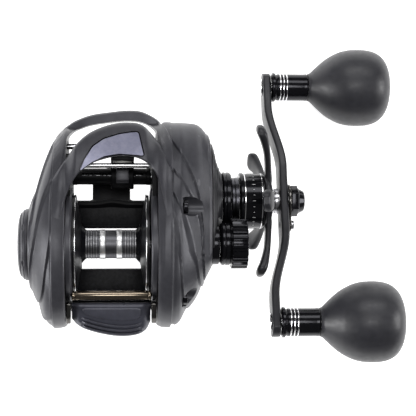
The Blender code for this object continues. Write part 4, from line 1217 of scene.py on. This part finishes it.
def make_worm_tube():
    """A tube with a slot underneath for the pawl, and another along its top."""
    start, end = span_of("worm_tube")
    outline = [(start, 3.1), (start, 3.3), (start + 1.5, 3.3), (start + 1.7, 3.1),
               (end - 1.7, 3.1), (end - 1.5, 3.3), (end, 3.3), (end, 2.6), (start, 2.6)]
    tube = lathe(eased(outline, 0.08, 2), WORM_AXIS, 96, closed=True)
    y, z = WORM_AXIS
    slots = [block((-12.6, y - 1.1, z - 5.0), (13.2, y + 1.1, z), 0.2),
             block((-11.6, y + 0.2, z + 1.0), (12.2, y + 1.3, z + 5.0), 0.2)]
    piece("worm_tube_detail", carved(tube, slots), SATIN, "reel_body", "satin_black", "worm_tube",
          smooth_angle=34.0)


def make_worm_shaft():
    """The level wind's screw, with a groove that winds one way and back the other."""
    start, end, _, radius = round_box("worm_shaft")
    groove_start = start + 1.6
    groove_length = 26.0
    groove_turns = 5
    rings = []
    for x in spaced(start, end, 260):
        share = (x - groove_start) / groove_length
        ring = []
        for angle in full_turn(48):
            depth = 0.0
            if 0.0 < share < 1.0:
                for way in (-1, 1):
                    phase = (angle + way * math.tau * groove_turns * share) % math.tau
                    distance = min(phase, math.tau - phase)
                    depth = max(depth, 0.5 * (1 - eased_step(0.35, 0.62, distance)))
            ring.append((x, *on_circle(WORM_AXIS, radius - depth, angle)))
        rings.append(ring)
    piece("worm_shaft_detail", skin(rings), STEEL, "worm", "steel", "worm_shaft")


def eye_ring(profile, eye, closed=False):
    """A turned form whose axis lies along Y at the eye."""
    bm = lathe(profile, (0.0, 0.0), 96, closed)
    for vert in bm.verts:
        along, across, up = vert.co
        vert.co = (across + eye.x * MM, along, up + eye.z * MM)
    return bm


def make_line_guide():
    """A carriage on the tube, with a saddle on top, and an upright plate that holds the eye."""
    low, high = box_of("line_guide")
    eye = middle_of("guide_insert")
    arm = [(31.6, 20.0), (high.y, 23.0), (high.y, high.z), (31.3, high.z), (31.3, 29.0)]
    outline = eased(arc(4.9, WORM_AXIS, 60, 330, 60) + arm, 0.5, 4)
    body = slab("guide", [outline, circle(3.6, WORM_AXIS, 64)], (low.x, high.x), 0.35)
    bore = eye_ring([(28.0, 3.8), (36.0, 3.8)], eye)
    piece("line_guide_body", carved(body, [bore]), SATIN, "line_guide", "satin_black",
          "line_guide", smooth_angle=34.0)
    y, z = WORM_AXIS
    crest = z + 5.1
    outline = eased([(y - 3.0, crest - 1.3), (y - 1.6, crest), (y + 2.4, crest),
                     (y + 3.4, crest - 1.6)], 0.3)
    saddle = slab("saddle", [outline], (low.x + 1.9, high.x - 1.9), 0.2)
    piece("line_guide_saddle", saddle, GRAPHITE, "line_guide", "graphite_paint")
    low, high = box_of("guide_insert")
    profile = eased([(low.y, 3.1), (low.y, 3.5), (high.y, 3.5), (high.y, 3.1),
                     (eye.y + 0.6, 2.9), (eye.y - 0.6, 2.9)], 0.3, 4)
    piece("guide_insert_ring", eye_ring(profile, eye, closed=True), CERAMIC, "line_guide",
          "insert_ceramic", "guide_insert", smooth_angle=50.0)


make_spool()
make_thumb_bar()
make_rear_bar()
make_guide_rods()
make_worm_tube()
make_worm_shaft()
make_line_guide()


# ---------------------------------------------------------------- drive stack and drag

def collar(name, material, body, slot, node, outline, bore, easing=0.15, axis=DRIVE_AXIS):
    """A turned collar on a shaft, from its outer outline and the radius of its bore."""
    loop = eased([*outline, (outline[-1][0], bore), (outline[0][0], bore)], easing)
    piece(name, lathe(loop, axis, 144, closed=True), material, body, slot, node,
          smooth_angle=32.0)


def make_drive_stack():
    start, end = span_of("tension_base")
    collar("tension_seat", GLOSS, "reel_body", "satin_black", "tension_base",
           [(start, 5.4), (end - 2.6, 5.4), (end - 2.4, 7.5), (end - 2.0, 7.9),
            (end + 0.4, 7.9), (end + 0.6, 7.6)], 4.6, 0.1, SPOOL_AXIS)
    start, end = span_of("bearing_cover")
    collar("bearing_cover_detail", GLOSS, "reel_body", "satin_black", "bearing_cover",
           [(start, 10.5), (start + 0.5, 11.4), (start + 1.2, 11.4), (start + 1.35, 11.15),
            (start + 1.6, 11.15), (start + 1.75, 11.4), (start + 3.0, 11.4), (end, 10.8)], 3.7)
    start, end = span_of("drive_spacer")
    collar("drive_spacer_detail", SPACER, "handle", "satin_black", "drive_spacer",
           [(start, 9.2), (start + 0.9, 9.25), (start + 1.0, 9.0), (start + 1.2, 9.0),
            (start + 1.3, 9.3), (end, 9.4)], 3.7, 0.08)
    start, end = span_of("handle_spacer")
    collar("handle_spacer_detail", STEEL, "handle", "steel", "handle_spacer",
           [(start, 4.8), (start + 0.7, 5.0), (start + 0.8, 4.6), (start + 1.1, 4.6),
            (start + 1.2, 5.0), (end, 5.0)], 3.7, 0.08)


def make_yoke_springs():
    """Each spring on its seat, and a guide pin on the yoke that slides into it."""
    yoke_face = box_of("clutch_yoke")[1].x
    travel = JOINTS["yoke_lift"]["range_m"][1] / MM
    start = yoke_face + travel + 0.5
    wire = 0.3
    coils = 4
    for node in ("yoke_spring_upper", "yoke_spring_lower"):
        _, end, axis, outer = round_box(node)
        rings = []
        for share in spaced(0.0, 1.0, 160):
            x = start + wire + (end - start - 2 * wire) * share
            ring = []
            for turn in full_turn(10):
                reach = outer - wire + wire * math.cos(turn)
                spot = on_circle(axis, reach, math.tau * coils * share)
                ring.append((x + wire * math.sin(turn), *spot))
            rings.append(ring)
        piece(node + "_coil", skin(rings), STEEL, "reel_body", "steel", node, smooth_angle=60.0)
        pin = eased([(yoke_face - 0.4, 0.9), (start + 1.6, 0.9), (start + 1.9, 0.5)], 0.1,
                    closed=False)
        piece(node + "_pin", lathe(pin, axis, 32), STEEL, "clutch_yoke", "steel")


def make_star_hub():
    """The star's hub, with two bright lines and a row of marks between them."""
    start, end = span_of("star_hub")
    collar("star_hub_detail", GLOSS, "star_drag", "black_anodised", "star_hub",
           [(start, 10.7), (start + 0.4, 11.2), (start + 1.3, 11.2), (start + 1.5, 10.9),
            (end - 0.4, 10.9), (end, 10.5)], 3.7)
    lines = []
    for x in (start + 1.95, end - 0.95):
        loop = [(x - 0.16, 10.6), (x - 0.14, 10.96), (x + 0.14, 10.96), (x + 0.16, 10.6)]
        lines.append(lathe(loop, DRIVE_AXIS, 160, closed=True))
    piece("star_hub_lines", merged(*lines), POLISHED, "star_drag", "steel")
    marks = []
    middle = (start + end) / 2 + 0.5
    for index, angle in enumerate(full_turn(30)):
        half = (0.6, 0.3, 0.3)[index % 3]
        mark = block((middle - half, -0.12, 10.6), (middle + half, 0.12, 10.94), 0.03, 1)
        place = Matrix.Translation(Vector((0.0, *DRIVE_AXIS)) * MM)
        mark.transform(place @ Matrix.Rotation(angle, 4, "X"))
        marks.append(mark)
    piece("star_hub_marks", merged(*marks), TICK_PAINT, "star_drag", "badge_metal")


def make_star_wheel():
    low, high = box_of("star_wheel")
    face = high.x + 0.2
    wheel = [(face - 3.1, 3.7), (face - 3.1, 9.8), (face - 2.6, 10.4), (face - 2.0, 10.3),
             (face - 0.8, 8.6), (face, 7.6), (face, 3.7)]
    hub = lathe(eased(wheel, 0.3), DRIVE_AXIS, 128, closed=True)
    arms = [star_arm(angle, high.z - DRIVE_AXIS[1]) for angle in full_turn(5)]
    piece("star_wheel_detail", merged(hub, *arms), GRAPHITE_DARK, "star_drag", "graphite_paint",
          "star_wheel", smooth_angle=40.0)


def star_arm(lean, reach):
    """One swept paddle: a thin neck that opens into a rounded, cupped tip."""
    keys = ((5.0, 61.0, 3.6, 3.0), (9.0, 61.4, 3.2, 2.9), (12.0, 61.3, 2.9, 2.6),
            (16.0, 61.0, 2.8, 2.5), (20.0, 60.5, 3.0, 2.7), (25.0, 59.3, 3.7, 3.5),
            (28.2, 58.2, 4.2, 4.2), (reach, 57.5, 4.0, 3.9))
    rings = []
    tip = 3.6
    for share in spaced(0.0, math.pi / 2, 46):
        radius = keys[0][0] + (reach - keys[0][0]) * math.sin(share)
        middle, half_width, thickness = (
            smooth_through([(key[0], key[part]) for key in keys], radius) for part in (1, 2, 3)
        )
        over = max(radius - (reach - tip), 0.0) / tip
        close = math.sqrt(max(1 - over**2, 0.012))
        half = thickness / 2 * (0.35 + 0.65 * close)
        half_width *= 0.25 + 0.75 * close
        ring = []
        for angle in full_turn(32):
            across = math.copysign(abs(math.cos(angle)) ** 0.62, math.cos(angle)) * half_width
            depth = math.copysign(abs(math.sin(angle)) ** 0.62, math.sin(angle)) * half
            y = across * math.cos(lean) - radius * math.sin(lean)
            z = across * math.sin(lean) + radius * math.cos(lean)
            ring.append((middle + depth, DRIVE_AXIS[0] + y, DRIVE_AXIS[1] + z))
        rings.append(ring)
    return skin(rings)


def make_tension_knob():
    """A smooth band with a groove, and a crown of square ribs."""
    start, end, _, radius = round_box("tension_knob")
    band = [(start, 6.9), (start + 0.7, 7.9), (start + 1.1, 8.2), (start + 1.9, 8.2),
            (start + 2.05, 7.95), (start + 2.25, 7.95), (start + 2.4, 8.2), (start + 3.8, 8.2),
            (start + 4.1, 7.7), (start + 5.4, 7.7), (start + 5.4, 5.7), (start, 5.7)]
    ribs = []
    count = 20
    for index in range(count):
        for share, depth in ((0.0, 0.0), (0.15, 0.0), (0.3, 0.0), (0.45, 0.0), (0.55, 0.75),
                             (0.72, 0.75), (0.9, 0.75)):
            angle = math.tau * (index + share) / count
            ribs.append(on_circle((0.0, 0.0), radius - depth, angle))
    parts = [
        lathe(eased(band, 0.12, 2), SPOOL_AXIS, 144, closed=True),
        slab("crown", [eased(ribs, 0.12, 2), circle(5.7)], (end - 6.0, end), 0.28, SPOOL_AXIS),
        lathe([(end - 1.6, 5.9), (end - 0.5, 5.9), (end - 0.3, 5.4)], SPOOL_AXIS, 96),
    ]
    piece("tension_knob_detail", merged(*parts), GLOSS, "tension_knob", "satin_black",
          "tension_knob", smooth_angle=32.0)


# ---------------------------------------------------------------- handle

HANDLE_TILT = math.atan2(KNOB_AXES["rear"][1] - KNOB_AXES["front"][1],
                         KNOB_AXES["front"][0] - KNOB_AXES["rear"][0])
KNOB_REACH = math.dist(KNOB_AXES["front"], KNOB_AXES["rear"]) / 2


def handle_point(x, along, across):
    """A point on the handle: along it from the drive axis, positive to the rod tip."""
    y = along * math.cos(HANDLE_TILT) + across * math.sin(HANDLE_TILT)
    z = -along * math.sin(HANDLE_TILT) + across * math.cos(HANDLE_TILT)
    return (x, DRIVE_AXIS[0] + y, DRIVE_AXIS[1] + z)


def handle_flat(along, across):
    return handle_point(0.0, along, across)[1:]


# The small screw that locks the handle nut, and a span that clears the arm on both sides.
LOCK_AXIS = handle_flat(-9.9, 0.0)
ARM_CUT = (55.0, 75.0)
ARM_HIGH = box_of("handle_arm")[1]
ARM_THICKNESS = 3.1
ARM_END_DROP = 4.9


def arm_face(along):
    return ARM_HIGH.x - ARM_END_DROP * eased_step(14.0, 39.0, abs(along))


def arm_half_width(along):
    waist = 4.9 + 2.6 * math.exp(-((along / 12.0) ** 2))
    return min(waist, math.sqrt(max(5.6**2 - max(abs(along) - KNOB_REACH, 0.0) ** 2, 0.4)))


def make_handle_arm():
    """The bent bar with rounded long edges, and its four holes."""
    rings = []
    reach = KNOB_REACH + 5.55
    for angle in spaced(0.0, math.pi, 150):
        share = -math.cos(angle)
        along = reach * (0.72 * share + 0.28 * share**3)
        half = arm_half_width(along)
        face = arm_face(along)
        back = face - ARM_THICKNESS
        section = [(back, half - 0.3), (back + 0.9, half), (face - 0.5, half), (face, half - 0.5),
                   (face, -half + 0.5), (face - 0.5, -half), (back + 0.9, -half),
                   (back, -half + 0.3)]
        rings.append([handle_point(x, along, across) for x, across in eased(section, 0.35)])
    holes = []
    for axis, radius, steps in ((DRIVE_AXIS, 3.7, 64), (LOCK_AXIS, 1.2, 32),
                                (KNOB_AXES["front"], 2.7, 64), (KNOB_AXES["rear"], 2.7, 64)):
        holes.append(lathe([(x, radius) for x in ARM_CUT], axis, steps))
    piece("handle_arm_detail", carved(skin(rings), holes), GRAPHITE_DARK, "handle",
          "graphite_paint", "handle_arm", smooth_angle=40.0)


def make_handle_nut():
    """The locking plate, the nut with its domed cap, and the small screw that locks them."""
    start, end = span_of("handle_washer")
    outline = [handle_flat(along, across) for along, across in
               arc(6.6, (0.0, 0.0), -140, 140, 64) + arc(2.6, (-9.9, 0.0), 110, 250, 24)]
    holes = [circle(3.7, DRIVE_AXIS), circle(1.2, LOCK_AXIS, 32)]
    piece("handle_washer_detail", slab("washer", [outline] + holes, (start, end), 0.16),
          NICKEL, "handle", "dark_steel", "handle_washer")
    start, end = span_of("handle_nut")
    hexagon = eased(circle(6.2, DRIVE_AXIS, 6), 0.35)
    nut = slab("nut", [hexagon], (start, start + 2.7), 0.22)
    dome = [(start + 2.3, 5.3), (start + 2.7, 5.3), (start + 3.0, 5.0), (start + 4.9, 4.0),
            (end, 3.5), (end, 2.2), (end - 0.35, 1.9)]
    cap = lathe(eased(dome, 0.25, closed=False), DRIVE_AXIS, 96)
    piece("handle_nut_detail", merged(nut, cap), GLOSS, "handle", "black_anodised", "handle_nut",
          smooth_angle=32.0)
    start, end = span_of("nut_screw")
    teeth = []
    for index in range(10):
        for share, radius in ((0.0, 1.8), (0.49, 1.8), (0.49, 1.55), (0.98, 1.55)):
            teeth.append(on_circle(LOCK_AXIS, radius, math.tau * (index + share) / 10))
    head = slab("screw_head", [teeth], (end - 0.95, end), 0.06)
    shank = lathe([(start, 0.85), (end - 0.5, 0.85)], LOCK_AXIS, 32)
    y, z = LOCK_AXIS
    slot_cut = block((end - 0.4, y - 2.0, z - 0.22), (end + 1.0, y + 2.0, z + 0.22), 0.02, 1)
    piece("nut_screw_detail", carved(merged(shank, head), [slot_cut]), STEEL, "handle", "steel",
          "nut_screw")


KNOB_FLANK = ((0.0, 5.45), (1.0, 5.9), (2.4, 7.2), (5.1, 9.7), (8.2, 12.1), (12.4, 14.3),
              (16.0, 15.3), (19.2, 15.6))


def make_knob(end):
    """A ball grip on its sleeve, and the post with a bright rivet head that carries them."""
    axis = KNOB_AXES[end]
    body = f"knob_{end}"
    start, stop = span_of(f"knob_post_{end}")
    post = [(start, 1.3), (start + 0.25, 2.6), (start + 0.6, 3.4), (start + 1.0, 3.6),
            (start + 1.0, 2.4), (stop, 2.4)]
    piece(f"knob_post_{end}_detail", lathe(eased(post, 0.15, closed=False), axis, 72), POLISHED,
          "handle", "steel", f"knob_post_{end}")
    start, stop = span_of(f"knob_sleeve_{end}")
    sleeve = [(start, 4.9), (start + 0.35, 5.2), (start + 0.5, 5.9), (start + 1.5, 5.9),
              (start + 1.8, 5.35), (start + 2.3, 5.2), (start + 2.6, 5.4), (stop - 1.4, 5.4),
              (stop - 0.4, 5.5), (stop, 5.4)]
    collar(f"knob_sleeve_{end}_detail", GLOSS, body, "black_anodised", f"knob_sleeve_{end}",
           sleeve, 2.7, 0.12, axis)
    lines = []
    for step in range(3):
        x = start + 3.6 + 1.35 * step
        loop = [(x - 0.22, 5.2), (x - 0.2, 5.47), (x - 0.1, 5.55), (x + 0.1, 5.55),
                (x + 0.2, 5.47), (x + 0.22, 5.2)]
        lines.append(lathe(loop, axis, 128, closed=True))
    piece(f"knob_sleeve_{end}_lines", merged(*lines), POLISHED, body, "steel")
    start, stop = span_of(f"knob_{end}")
    flank = [(start + x, radius) for x, radius in KNOB_FLANK]
    widest = flank[-1]
    grip = [(x, smooth_through(flank, x)) for x in spaced(start, widest[0], 48)[:-1]]
    reach = stop - widest[0] + (0.9 if end == "front" else 0.1)
    for angle in spaced(0.0, math.pi / 2, 48):
        grip.append((widest[0] + reach * math.sin(angle) ** 0.67,
                     max(widest[1] * math.cos(angle) ** 0.67, 0.2)))
    knob = lathe([(start + 4.2, 2.7), (start, 2.7)] + grip, axis, 144)
    piece(f"knob_{end}_grip", knob, RUBBER, body, "grip_rubber", f"knob_{end}", smooth_angle=60.0)


make_drive_stack()
make_yoke_springs()
make_star_hub()
make_star_wheel()
make_tension_knob()
make_handle_arm()
make_handle_nut()
for knob_end in KNOB_AXES:
    make_knob(knob_end)
